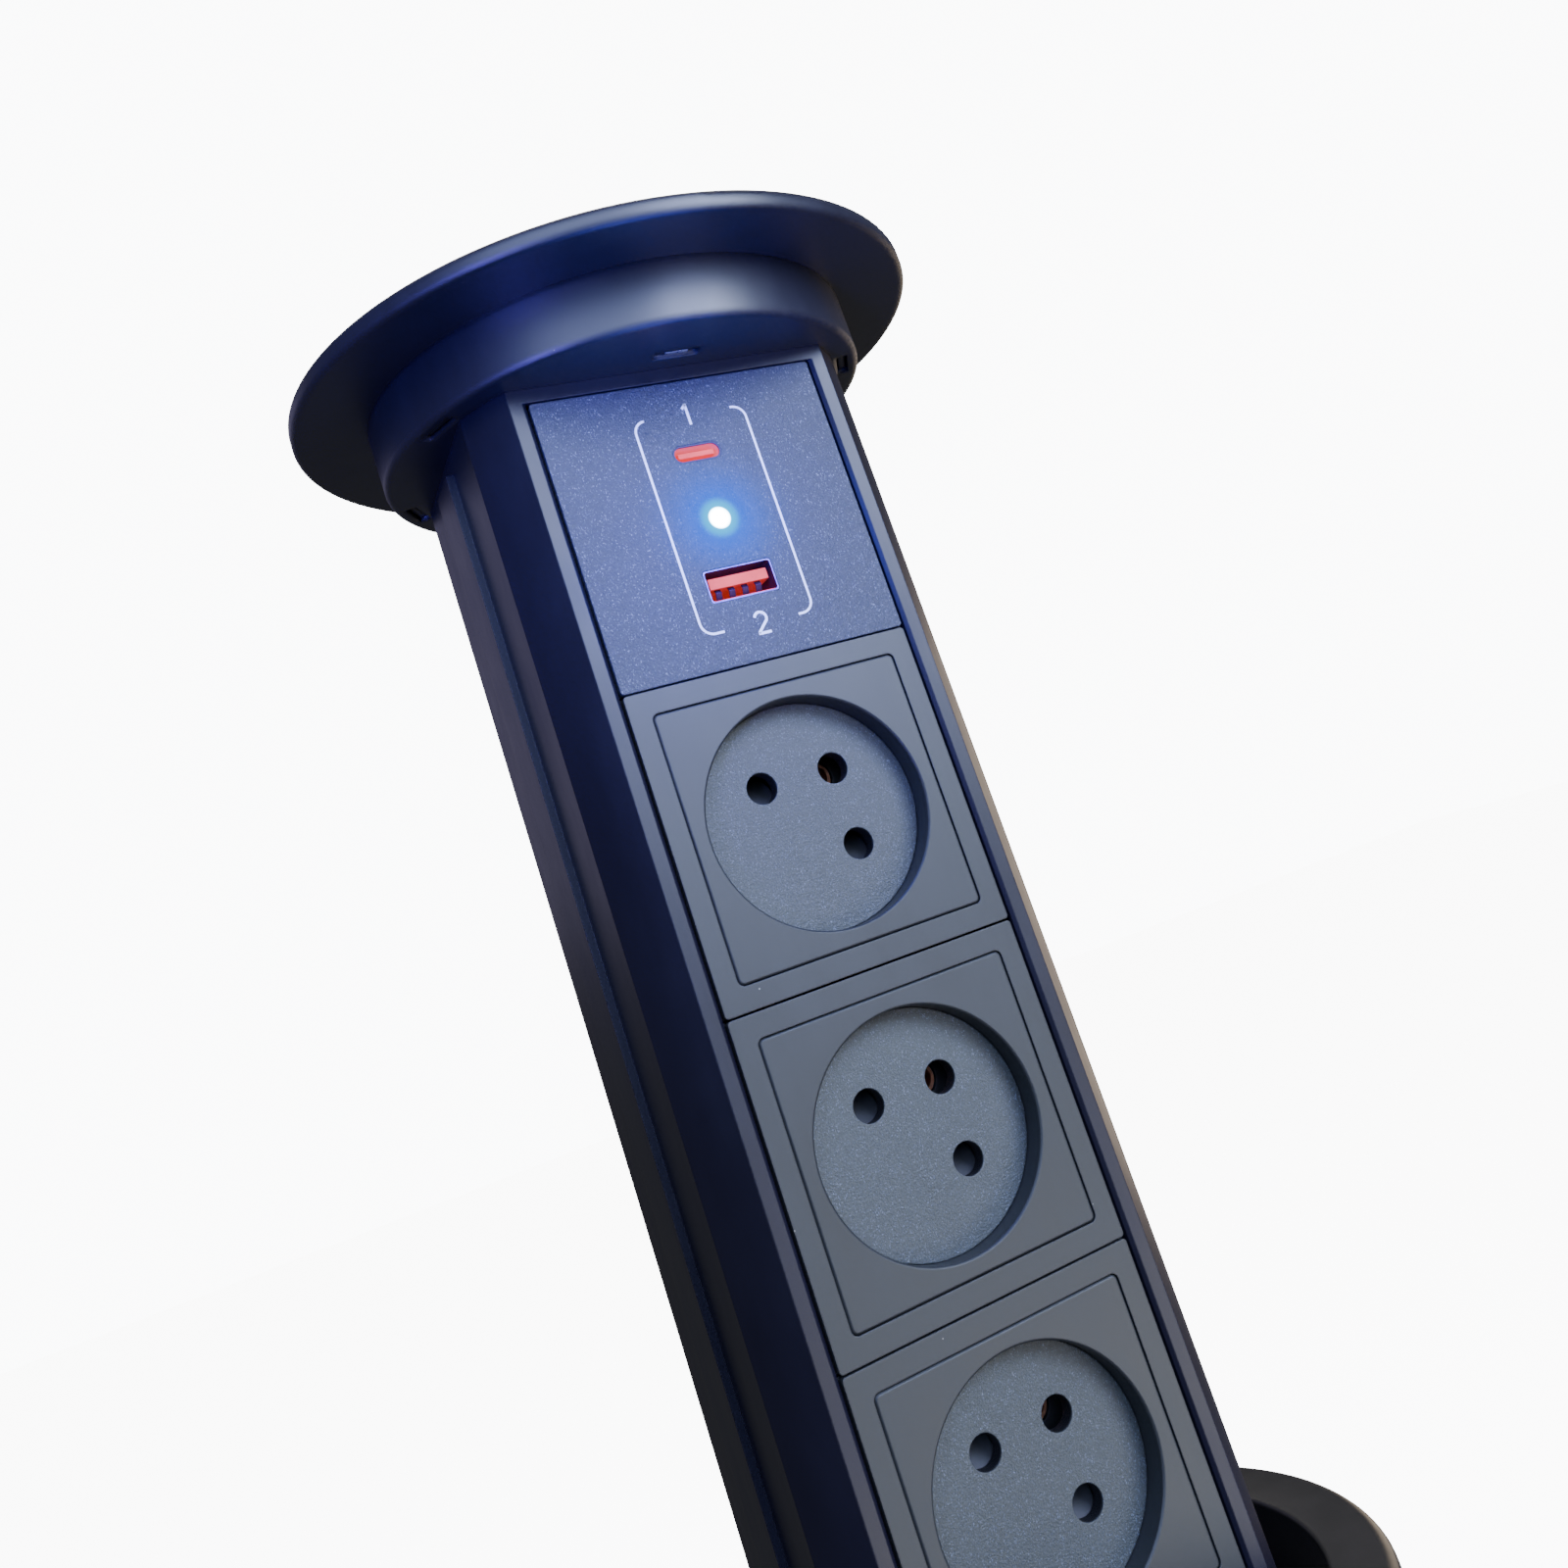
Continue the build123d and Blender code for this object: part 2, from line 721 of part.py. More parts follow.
def foot_cap():
    """Closes the column's foot; its rim meets the guide sleeve and stops the lift."""
    foot_bottom = column_bottom - foot_thickness
    body = disc(foot_radius, foot_bottom, column_bottom)
    body = chamfer(edges_at(body, foot_radius, foot_bottom), foot_chamfer)
    spigot = column_section(-column_wall - seat_gap) - column_section(-column_wall - foot_spigot_wall)
    rear_half = Pos(0, column_radius / 2 - foot_spigot_front) * Rectangle(2 * column_radius, column_radius)
    spigot &= rear_half
    for x, y in channel_places:
        spigot -= Pos(x, y) * Circle(channel_radius + seat_gap)
    body += rise(spigot, column_bottom - seat_gap, column_bottom + foot_spigot_height)
    body -= disc(gland_shank_radius + seat_gap, foot_bottom - cut_overrun, column_bottom + cut_overrun)
    for x, y in channel_places:
        body -= Pos(x, y) * disc(screw_hole, foot_bottom - cut_overrun, column_bottom + cut_overrun)
        body -= Pos(x, y) * disc(screw_head_radius + counterbore_gap, foot_bottom - cut_overrun,
                                 foot_bottom + screw_head_height)
    return body


def foot_screws():
    head_level = column_bottom - foot_thickness + screw_head_height
    return screw_set(channel_places, head_level, -1,
                     screw_radius, screw_head_radius, screw_head_height, screw_length)


def gland_body():
    foot_bottom = column_bottom - foot_thickness
    hex_bottom = foot_bottom - gland_hex_height
    cup_bottom = hex_bottom - gland_cup_height
    body = disc(gland_shank_radius, foot_bottom, foot_bottom + gland_shank_rise)
    body += rise(RegularPolygon(gland_hex_radius, 6), hex_bottom, foot_bottom)
    body += disc(gland_cup_radius, cup_bottom, hex_bottom)
    body -= disc(gland_bore + gland_throat_gap,
                 hex_bottom - cut_overrun, foot_bottom + gland_shank_rise + cut_overrun)
    return body - disc(gland_seal_radius + seat_gap, cup_bottom - cut_overrun, hex_bottom - gland_seal_seat)


def gland_seal():
    seal_top = column_bottom - foot_thickness - gland_hex_height - gland_seal_seat
    return disc(gland_seal_radius, seal_top - gland_seal_length, seal_top) - disc(
        gland_bore, seal_top - gland_seal_length - cut_overrun, seal_top + cut_overrun)


def gland_nut():
    nut_top = column_bottom - foot_thickness - gland_hex_height - gland_nut_gap
    nut_bottom = nut_top - gland_nut_height
    seal_bottom = nut_top + gland_nut_gap - gland_seal_seat - gland_seal_length
    body = rise(RegularPolygon(gland_nut_radius, 6), nut_bottom, nut_top)
    body -= disc(gland_cup_radius + seat_gap, seal_bottom, nut_top + cut_overrun)
    return body - disc(gland_bore + gland_nut_wall, nut_bottom - cut_overrun, seal_bottom + cut_overrun)


def desk_bezel():
    """The flange, the nest that the cap ring drops into and the threaded collar, in one moulding."""
    body = turned([
        (nest_radius, nest_floor),
        (nest_radius, bezel_height),
        (bezel_radius, bezel_height),
        (bezel_radius, 0),
        (gasket_outer, 0),
        (gasket_outer, gasket_thickness),
        (gasket_inner, gasket_thickness),
        (gasket_inner, 0),
        (collar_radius, 0),
        (collar_radius, collar_bottom),
        (collar_bore, collar_bottom),
        (collar_bore, nest_floor),
    ])
    body = fillet(edges_at(body, bezel_radius, bezel_height), bezel_round)
    body = fillet(edges_at(body, nest_radius, bezel_height), bezel_inner_round)
    body = chamfer(edges_at(body, collar_radius, collar_bottom), collar_chamfer)
    for x, y in sleeve_screw_places():
        body -= Pos(x, y) * disc(sleeve_screw_radius + screw_gap, collar_bottom - cut_overrun,
                                 collar_bottom + sleeve_screw_length)
    return body


def seal_gasket():
    body = disc(gasket_outer - seat_gap, 0, gasket_thickness)
    return body - disc(gasket_inner + seat_gap, 0, gasket_thickness)


def sleeve_screw_places():
    """The sleeve screws stand between the front, the sides and the back."""
    places = []
    for number in range(sleeve_screw_count):
        angle = radians((number + 0.5) * 360 / sleeve_screw_count)
        places.append((sleeve_screw_circle * cos(angle), sleeve_screw_circle * sin(angle)))
    return places


def guide_sleeve():
    """The plastic bush with the column's own section, held in the collar."""
    body = disc(collar_bore - seat_gap, column_bottom, nest_floor)
    body += disc(sleeve_flange_radius, column_bottom, collar_bottom)
    body -= rise(column_section(guide_gap, keys=True), column_bottom - cut_overrun, nest_floor + cut_overrun)
    wiper_top = nest_floor - wiper_depth
    groove = column_section(wiper_width + seat_gap, keys=True)
    body -= rise(groove, wiper_top - wiper_thickness - seat_gap, wiper_top + seat_gap)
    for x, y in sleeve_screw_places():
        body -= Pos(x, y) * disc(sleeve_screw_radius + screw_gap, column_bottom - cut_overrun,
                                 collar_bottom + cut_overrun)
        body -= Pos(x, y) * disc(sleeve_screw_head_radius + screw_gap, column_bottom - cut_overrun,
                                 column_bottom + sleeve_screw_head_height)
    nose_half_width = catch_nose_width / 2 + catch_gap
    nose_half_height = catch_nose_height / 2 + catch_gap
    body -= box(-nose_half_width, nose_half_width, column_radius - column_wall, collar_bore,
                catch_level - nose_half_height, catch_level + nose_half_height)
    head_half_width = catch_head_width / 2 + catch_gap
    head_half_height = catch_head_height / 2 + catch_gap
    pocket_floor = catch_head_front() - catch_travel - catch_gap
    return body - box(-head_half_width, head_half_width, pocket_floor, collar_bore,
                      catch_level - head_half_height, catch_level + head_half_height)


def sleeve_screws():
    head_level = column_bottom + sleeve_screw_head_height
    return screw_set(sleeve_screw_places(), head_level, -1, sleeve_screw_radius, sleeve_screw_head_radius,
                     sleeve_screw_head_height, sleeve_screw_length)


def wiper_seal():
    wiper_top = nest_floor - wiper_depth
    ring = column_section(wiper_width, keys=True) - column_section(wiper_gap, keys=True)
    return rise(ring, wiper_top - wiper_thickness, wiper_top)


def catch_head_front():
    """The depth of the shoulder between the catch's nose and its head."""
    return column_radius + catch_gap + catch_nose_length


def catch():
    """The sprung catch behind the column, held back by its surface; it drops 1.5 mm into the raised notch."""
    nose_tip = column_radius + catch_gap
    head_front = catch_head_front()
    half_height = catch_nose_height / 2
    side_view = [
        (nose_tip, catch_level - half_height + catch_nose_ramp),
        (nose_tip, catch_level + half_height - catch_nose_ramp),
        (nose_tip + catch_nose_ramp, catch_level + half_height),
        (head_front, catch_level + half_height),
        (head_front, catch_level - half_height),
        (nose_tip + catch_nose_ramp, catch_level - half_height),
    ]
    nose_face = make_face(Polyline(*[(-catch_nose_width / 2, y, z) for y, z in side_view], close=True))
    nose = extrude(nose_face, amount=catch_nose_width, dir=(1, 0, 0))
    head = box(-catch_head_width / 2, catch_head_width / 2, head_front, head_front + catch_head_thickness,
               catch_level - catch_head_height / 2, catch_level + catch_head_height / 2)
    return nose + head


def catch_spring():
    """A bowed leaf between the catch's head and the collar's wall."""
    bow_back = collar_bore - seat_gap
    bow_front = catch_head_front() + catch_head_thickness
    half_chord = catch_head_width / 2 - catch_gap
    end_y = bow_front + catch_spring_strip
    arc_back = ThreePointArc((-half_chord, end_y), (0, bow_back - guide_gap), (half_chord, end_y))
    arc_front = ThreePointArc((half_chord, bow_front), (0, bow_back - guide_gap - catch_spring_strip),
                              (-half_chord, bow_front))
    ends = [Line((half_chord, end_y), (half_chord, bow_front)),
            Line((-half_chord, bow_front), (-half_chord, end_y))]
    strip = make_face([arc_back, ends[0], arc_front, ends[1]])
    return rise(strip, catch_level - catch_nose_height / 2, catch_level + catch_nose_height / 2)


def clamp_washer():
    top = -worktop_thickness
    return disc(washer_radius, top - washer_thickness, top) - disc(
        collar_radius + washer_gap, top - washer_thickness, top)


def lock_nut():
    top = -worktop_thickness - washer_thickness
    bottom = top - nut_height
    body = disc(nut_radius, bottom, top)
    body = chamfer(edges_at(body, nut_radius, bottom), nut_chamfer)
    for number in range(nut_lug_count):
        lug = Pos(0, -nut_radius) * Rectangle(nut_lug_width, 2 * nut_lug_reach)
        body += around(number * 360 / nut_lug_count) * rise(lug, bottom + nut_chamfer, top)
    return body - disc(collar_radius + nut_gap, bottom - cut_overrun, top + cut_overrun)


def build_nodes():
    nodes = {
        "desk_bezel": desk_bezel(),
        "seal_gasket": seal_gasket(),
        "guide_sleeve": guide_sleeve(),
        "sleeve_screws": sleeve_screws(),
        "wiper_seal": wiper_seal(),
        "catch": catch(),
        "catch_spring": catch_spring(),
        "clamp_washer": clamp_washer(),
        "lock_nut": lock_nut(),
        "column_shell": column_shell(),
        "blank_panel": blank_panel(),
        "cap_disc": cap_disc(),
        "cap_ring": cap_ring(),
        "cap_screws": cap_screws(),
        "foot_cap": foot_cap(),
        "foot_screws": foot_screws(),
        "gland_body": gland_body(),
        "gland_seal": gland_seal(),
        "gland_nut": gland_nut(),
        "usb_panel": usb_panel(),
        "usb_a_shell": usb_a_shell(),
        "usb_a_tongue": usb_a_tongue(),
        "usb_a_contacts": usb_a_contacts(),
        "usb_c_shell": usb_c_shell(),
        "usb_c_tongue": usb_c_tongue(),
        "indicator_lens": indicator_lens(),
        "usb_board": usb_board(),
        "usb_transformer": usb_transformer(),
        "usb_capacitors": usb_capacitors(),
        "usb_feed_pins": usb_feed_pins(),
        "usb_rear_cover": usb_rear_cover(),
    }
    for name, x_side, z_side, tail_side in pin_places:
        nodes[name + "_bar"] = contact_bar(name)
    for number in range(1, socket_count + 1):
        middle = socket_middle(number)
        nodes[f"socket_frame_{number}"] = socket_frame(middle)
        nodes[f"socket_insert_{number}"] = socket_insert(middle)
        nodes[f"socket_core_{number}"] = socket_core(middle)
        nodes[f"shutter_{number}"] = shutter(middle)
        nodes[f"shutter_spring_{number}"] = shutter_spring(middle)
        nodes[f"contact_block_{number}"] = contact_block(middle)
        nodes[f"contacts_{number}"] = contacts(middle)
    return nodes


os.makedirs("parts", exist_ok=True)
for node_name, shape in build_nodes().items():
    export_step(shape, f"parts/{node_name}.step")
print("lift travel", round(lift_travel, 3))
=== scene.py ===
import math

import bmesh
import bpy
from bpy.props import FloatProperty, FloatVectorProperty, IntProperty, PointerProperty
from mathutils import Matrix, Vector


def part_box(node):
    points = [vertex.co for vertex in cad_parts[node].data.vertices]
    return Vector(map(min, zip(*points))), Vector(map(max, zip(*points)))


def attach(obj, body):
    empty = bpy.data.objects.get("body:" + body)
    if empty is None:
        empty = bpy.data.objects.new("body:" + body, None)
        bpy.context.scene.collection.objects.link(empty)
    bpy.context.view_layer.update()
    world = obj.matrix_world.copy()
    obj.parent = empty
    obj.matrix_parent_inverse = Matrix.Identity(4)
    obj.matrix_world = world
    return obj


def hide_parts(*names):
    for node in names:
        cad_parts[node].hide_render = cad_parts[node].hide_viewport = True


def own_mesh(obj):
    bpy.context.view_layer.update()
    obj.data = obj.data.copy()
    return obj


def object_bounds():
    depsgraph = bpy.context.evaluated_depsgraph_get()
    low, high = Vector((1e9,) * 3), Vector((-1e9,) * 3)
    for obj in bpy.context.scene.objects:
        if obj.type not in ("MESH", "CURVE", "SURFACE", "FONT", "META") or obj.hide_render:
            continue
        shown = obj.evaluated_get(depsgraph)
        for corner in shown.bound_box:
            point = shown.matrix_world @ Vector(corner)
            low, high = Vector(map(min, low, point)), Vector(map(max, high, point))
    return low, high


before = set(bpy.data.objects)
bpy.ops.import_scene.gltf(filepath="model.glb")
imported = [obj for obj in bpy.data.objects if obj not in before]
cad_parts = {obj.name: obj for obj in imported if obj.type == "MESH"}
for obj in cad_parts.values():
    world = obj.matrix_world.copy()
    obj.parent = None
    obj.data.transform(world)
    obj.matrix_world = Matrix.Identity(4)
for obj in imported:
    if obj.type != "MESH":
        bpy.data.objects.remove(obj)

bl_info = {
    "name": "Desk socket tower dressing",
    "version": (1, 0, 0),
    "blender": (4, 5, 0),
    "location": "View3D > Sidebar > Socket Tower",
    "description": "Finishes, print, threads, screws and stage for a pop-up desk socket tower",
    "category": "Object",
}

CAD_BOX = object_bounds()
BEZEL_LOW, BEZEL_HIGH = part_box("desk_bezel")
NUT_LOW, NUT_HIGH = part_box("lock_nut")
LENS_LOW, LENS_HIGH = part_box("indicator_lens")
FRONT_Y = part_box("usb_panel")[0].y
WELL_FLOOR_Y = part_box("socket_core_1")[0].y
LENS_CENTRE = ((LENS_LOW.x + LENS_HIGH.x) / 2, FRONT_Y, (LENS_LOW.z + LENS_HIGH.z) / 2)
SOCKETS = sorted(name.rsplit("_", 1)[1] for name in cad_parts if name.startswith("socket_core_"))


# Settings


def strength(name, description, default, **more):
    return FloatProperty(name=name, description=description, default=default, min=0.0, **more)


def length(name, description, default):
    return strength(name, description, default, subtype="DISTANCE", unit="LENGTH", precision=5)


def position(name, description, default):
    return FloatProperty(name=name, description=description, default=default, subtype="DISTANCE", unit="LENGTH",
                         precision=5)


def power(name, description, default):
    return strength(name, description, default, unit="POWER", precision=4)


def count(name, description, default, least, most):
    return IntProperty(name=name, description=description, default=default, min=least, max=most)


def colour(name, description, default):
    return FloatVectorProperty(name=name, description=description, default=default, min=0.0, max=1.0,
                               subtype="COLOR")


class TowerFinishSettings(bpy.types.PropertyGroup):
    shell_black: colour("Shell black", "Satin black of the column", (0.005, 0.0045, 0.013))
    ring_black: colour("Ring black", "Satin black of the desk ring", (0.012, 0.011, 0.010))
    cap_black: colour("Cap black", "Satin black of the cap and its ring", (0.006, 0.006, 0.015))
    frame_black: colour("Frame black", "Satin black of the socket frames and inserts", (0.018, 0.020, 0.021))
    well_black: colour("Well black", "Spark-textured black of the well floors", (0.035, 0.040, 0.040))
    panel_black: colour("Panel black", "Sparkling textured black of the USB panel", (0.027, 0.032, 0.048))
    shutter_grey: colour("Shutter grey", "Moulded grey of the shutters", (0.026, 0.026, 0.029))
    pin_brass: colour("Pin brass", "Reddish spring brass of the sockets' contacts", (0.72, 0.34, 0.18))
    brass: colour("Brass", "Stamped brass of the bars and pins", (0.80, 0.50, 0.24))
    tongue: colour("Port tongue", "Moulded orange of the USB tongues", (0.80, 0.07, 0.045))
    port_pink: colour("Port pink", "Glow of the tongue on the metal inside a port", (0.70, 0.13, 0.13))
    grain: length("Grain", "Width of one grain of the spark texture", 0.00032)
    rim_round: length("Rim round", "Radius that the cap's rim catches the light with", 0.0016)
    edge_round: length("Edge round", "Radius that the sharp moulded edges catch the light with", 0.00032)


class TowerPrintSettings(bpy.types.PropertyGroup):
    ink: colour("Ink", "Light grey of the printed outline", (0.80, 0.84, 0.92))
    line_width: length("Line width", "Width of the printed line", 0.00042)
    corner: length("Corner radius", "Radius of the outline's corners", 0.0022)
    film: length("Film", "How far the ink stands off the panel", 0.00003)
    left: position("Left", "X of the outline's left line", -0.00972)
    right: position("Right", "X of the outline's right line", 0.01117)
    top: position("Top", "Height of the outline's top line", 0.2147)
    bottom: position("Bottom", "Height of the outline's bottom line", 0.1752)
    top_left: position("Top left end", "X where the top line stops on the left", -0.0077)
    top_right: position("Top right end", "X where the top line starts on the right", 0.0087)
    bottom_left: position("Bottom left end", "X where the bottom line stops on the left", -0.0059)
    bottom_right: position("Bottom right end", "X where the bottom line starts on the right", 0.0081)
    digit: length("Digit height", "Height of the port numbers", 0.0040)


class TowerGlowSettings(bpy.types.PropertyGroup):
    core: colour("Core", "Colour of the lit lens", (0.75, 0.92, 1.0))
    halo: colour("Halo", "Colour of the bright ring round the lens", (0.0, 0.40, 0.78))
    haze: colour("Haze", "Colour of the wide glow on the panel", (0.0, 0.13, 1.0))
    halo_radius: length("Halo radius", "Reach of the bright ring", 0.0035)
    haze_radius: length("Haze radius", "Reach of the wide glow", 0.0072)
    power: power("Power", "Light that the indicator throws forward", 0.004)


class TowerThreadSettings(bpy.types.PropertyGroup):
    pitch: length("Pitch", "Rise of the collar's thread in one turn", 0.004)
    depth: length("Depth", "Depth of the collar's thread", 0.0009)
    runout: length("Run-out", "Plain length above and below the thread", 0.0022)
    columns: count("Columns", "Points round the collar", 144, 24, 360)
    rows: count("Rows", "Points along the thread", 264, 24, 400)


class TowerScrewSettings(bpy.types.PropertyGroup):
    recess: length("Recess", "Width of the cross recess across its arms", 0.0026)
    arm: length("Arm", "Width of one arm of the cross recess", 0.0006)
    recess_depth: length("Recess depth", "Depth of the cross recess", 0.0009)


class TowerGripSettings(bpy.types.PropertyGroup):
    ribs: count("Ribs", "Grip ribs round the lock nut", 96, 12, 240)
    rib_width: length("Rib width", "Width of a grip rib", 0.0011)
    rib_height: length("Rib height", "How far a grip rib stands out", 0.0007)
    leaf_count: count("Port springs", "Contact springs under the USB-A tongue", 4, 1, 9)
    leaf_pitch: length("Spring pitch", "Distance between the contact springs", 0.0025)
    leaf_width: length("Spring width", "Width of a contact spring", 0.0011)
    leaf_thick: length("Spring thickness", "Thickness of a contact spring", 0.00018)
    coil_turns: count("Coil turns", "Turns of the springs under the shutters", 9, 2, 30)
    wire_width: length("Spring wire", "Thickness of the coil springs' wire", 0.00032)
    shutter_travel: length("Shutter travel", "How far a shutter goes down", 0.00605)
    hook_inset: length("Hook inset", "Distance of the cap's front hook before the column's front", 0.00494)
    hook_width: length("Hook shoe width", "Width of the steel shoe on the front hook", 0.0042)
    hook_depth: length("Hook shoe depth", "Depth of the steel shoe on the front hook", 0.0011)
    hook_drop: length("Hook shoe drop", "How far the steel shoe hangs below the hook", 0.0004)


class TowerStageSettings(bpy.types.PropertyGroup):
    floor_size: length("Floor size", "Width of the pale floor", 12.0)
    floor_gap: length("Floor gap", "Gap under the lowest piece", 0.0006)
    lift_room: length("Lift room", "Room under the column for its way down", 0.2314)
    floor_colour: colour("Floor colour", "Pale floor", (0.90, 0.90, 0.91))
    key_light: power("Key light", "Power of the large soft light high in front", 46.0)
    low_light: power("Low light", "Power of the soft front light from low down", 12.0)
    cool_light: power("Cool light", "Power of the blue light before the cap", 4.0)
    blue_light: power("Blue light", "Power of the narrow blue light under the cap", 0.11)
    fill_light: power("Fill light", "Power of the soft front-left light", 33.0)
    side_light: power("Side light", "Power of the soft light behind on the left", 0.9)
    back_light: power("Back light", "Power of the soft light high behind", 9.0)
    warm_light: power("Warm light", "Power of the warm light from behind", 1.6)
    sky: strength("Sky", "Strength of the plain surroundings", 0.10)
    backdrop: strength("Backdrop", "Strength of the white that the camera sees", 11.0)
    floor_light: strength("Floor light", "How far the pale floor is lit up to white", 10.0)


def settings(name):
    return getattr(bpy.context.scene, name)


def add_object(name, data):
    made = bpy.data.objects.new(name, data)
    bpy.context.scene.collection.objects.link(made)
    return made


# Node helpers


class Nodes:
    """A node tree, with short calls for its nodes."""

    def __init__(self, tree):
        self.tree = tree

    def fill(self, socket, value):
        if isinstance(value, bpy.types.NodeSocket):
            self.tree.links.new(value, socket)
        else:
            socket.default_value = value

    def node(self, kind, inputs=None, **values):
        """A new node, with its inputs by label or number."""
        made = self.tree.nodes.new(kind)
        for key, value in values.items():
            setattr(made, key, value)
        for label, value in (inputs or {}).items():
            self.fill(made.inputs[label], value)
        return made

    def math(self, operation, *values):
        return self.node("ShaderNodeMath", dict(enumerate(values)), operation=operation).outputs[0]

    def scaled(self, value, factor):
        return self.math("MULTIPLY", value, factor)


# Finishes


SATIN, MATT = 0.38, 0.5
# Pale blue of the painted highlights (glints) in the spark textures.
PAINTED_GLINT_COLOUR = (0.34, 0.42, 0.62)
DUST_COLOUR = (0.35, 0.34, 0.33)
# The cell of one dust speck at most, the speck's largest share of it, and the share of empty cells.
DUST_CELL, DUST_SIZE, DUST_FREE = 0.0065, 0.028, 0.55
# Painted shade for the pin bores behind the well floors.
BORE_SHADE = (0.006, 0.006, 0.008)
PORT_RIM = (0.04, 0.035, 0.09)
BLOOM = (0.03, 0.03, 0.032)
COPPER_GREEN = (0.03, 0.20, 0.07)


def shade(base, share):
    return [c * share for c in base]


class Shader(Nodes):
    """A material's nodes, with short calls for what the finishes use."""

    def __init__(self, name, base, roughness, metallic=0.0, specular=0.5):
        self.material = bpy.data.materials.new(name)
        self.material.use_nodes = True
        super().__init__(self.material.node_tree)
        self.bsdf = self.tree.nodes["Principled BSDF"]
        self.bsdf.inputs["Specular IOR Level"].default_value = specular
        self.paint(base_color=(*base, 1.0), roughness=roughness, metallic=metallic)
        self.place = self.node("ShaderNodeTexCoord").outputs["Object"]

    def paint(self, **values):
        """Fills inputs of the surface, such as base_color, and gives back the material."""
        for label, value in values.items():
            self.fill(self.bsdf.inputs[label.replace("_", " ").title()], value)
        return self.material

    def vector(self, operation, first, second, output=0):
        return self.node("ShaderNodeVectorMath", {0: first, 1: second}, operation=operation).outputs[output]

    def behind(self, level):
        """Depth behind an upright plane at y = level."""
        return self.math("SUBTRACT", self.vector("DOT_PRODUCT", self.place, (0.0, 1.0, 0.0), "Value"), level)

    def noise(self, width, detail=3.0, roughness=0.5, stretch=(1.0, 1.0, 1.0)):
        """Noise whose features are about width metres wide, from 0 to 1."""
        place = self.vector("MULTIPLY", self.place, stretch)
        inputs = {"Vector": place, "Scale": 1.0 / width, "Detail": detail, "Roughness": roughness}
        return self.node("ShaderNodeTexNoise", inputs).outputs["Fac"]

    def cells(self, width, output="Distance"):
        """Irregular cells about width metres wide."""
        return self.node("ShaderNodeTexVoronoi", {"Vector": self.place, "Scale": 1.0 / width}).outputs[output]

    def spread(self, value, low, high, to_low=0.0, to_high=1.0):
        """The value's range from low to high, spread from to_low to to_high."""
        inputs = dict(enumerate((value, low, high, to_low, to_high)))
        return self.node("ShaderNodeMapRange", inputs).outputs["Result"]

    def falloff(self, ratio, sharpness):
        """Nearly 1 below a ratio of 1 and nearly 0 above it."""
        return self.math("EXPONENT", self.scaled(self.math("POWER", ratio, sharpness), -1.0))

    def mix(self, share, first, second):
        """The first colour, turning into the second as the share goes from 0 to 1."""
        first, second = (value if isinstance(value, bpy.types.NodeSocket) else (*value, 1.0)
                         for value in (first, second))
        return self.node("ShaderNodeMix", {"Factor": share, 6: first, 7: second}, data_type="RGBA").outputs[2]

    def bump(self, height, distance, amount, under=None):
        made = self.node("ShaderNodeBump", {"Strength": amount, "Distance": distance, "Height": height})
        if under is not None:
            self.fill(made.inputs["Normal"], under)
        return made.outputs["Normal"]

    def bevel(self, radius):
        return self.node("ShaderNodeBevel", {"Radius": radius}, samples=4).outputs["Normal"]

    def fine_skin(self):
        """The faint skin and soft edges of a small moulding."""
        return self.bump(self.noise(0.0003), 0.00001, 0.4, self.bevel(0.00015))


def dust_specks(shader):
    """1 on a few small dust specks, else 0."""
    split = shader.node("ShaderNodeSeparateColor", {0: shader.cells(DUST_CELL, "Color")})
    speck = shader.math("LESS_THAN", shader.cells(DUST_CELL), shader.scaled(split.outputs[0], DUST_SIZE))
    return shader.math("MULTIPLY", speck, shader.math("GREATER_THAN", split.outputs[1], DUST_FREE))


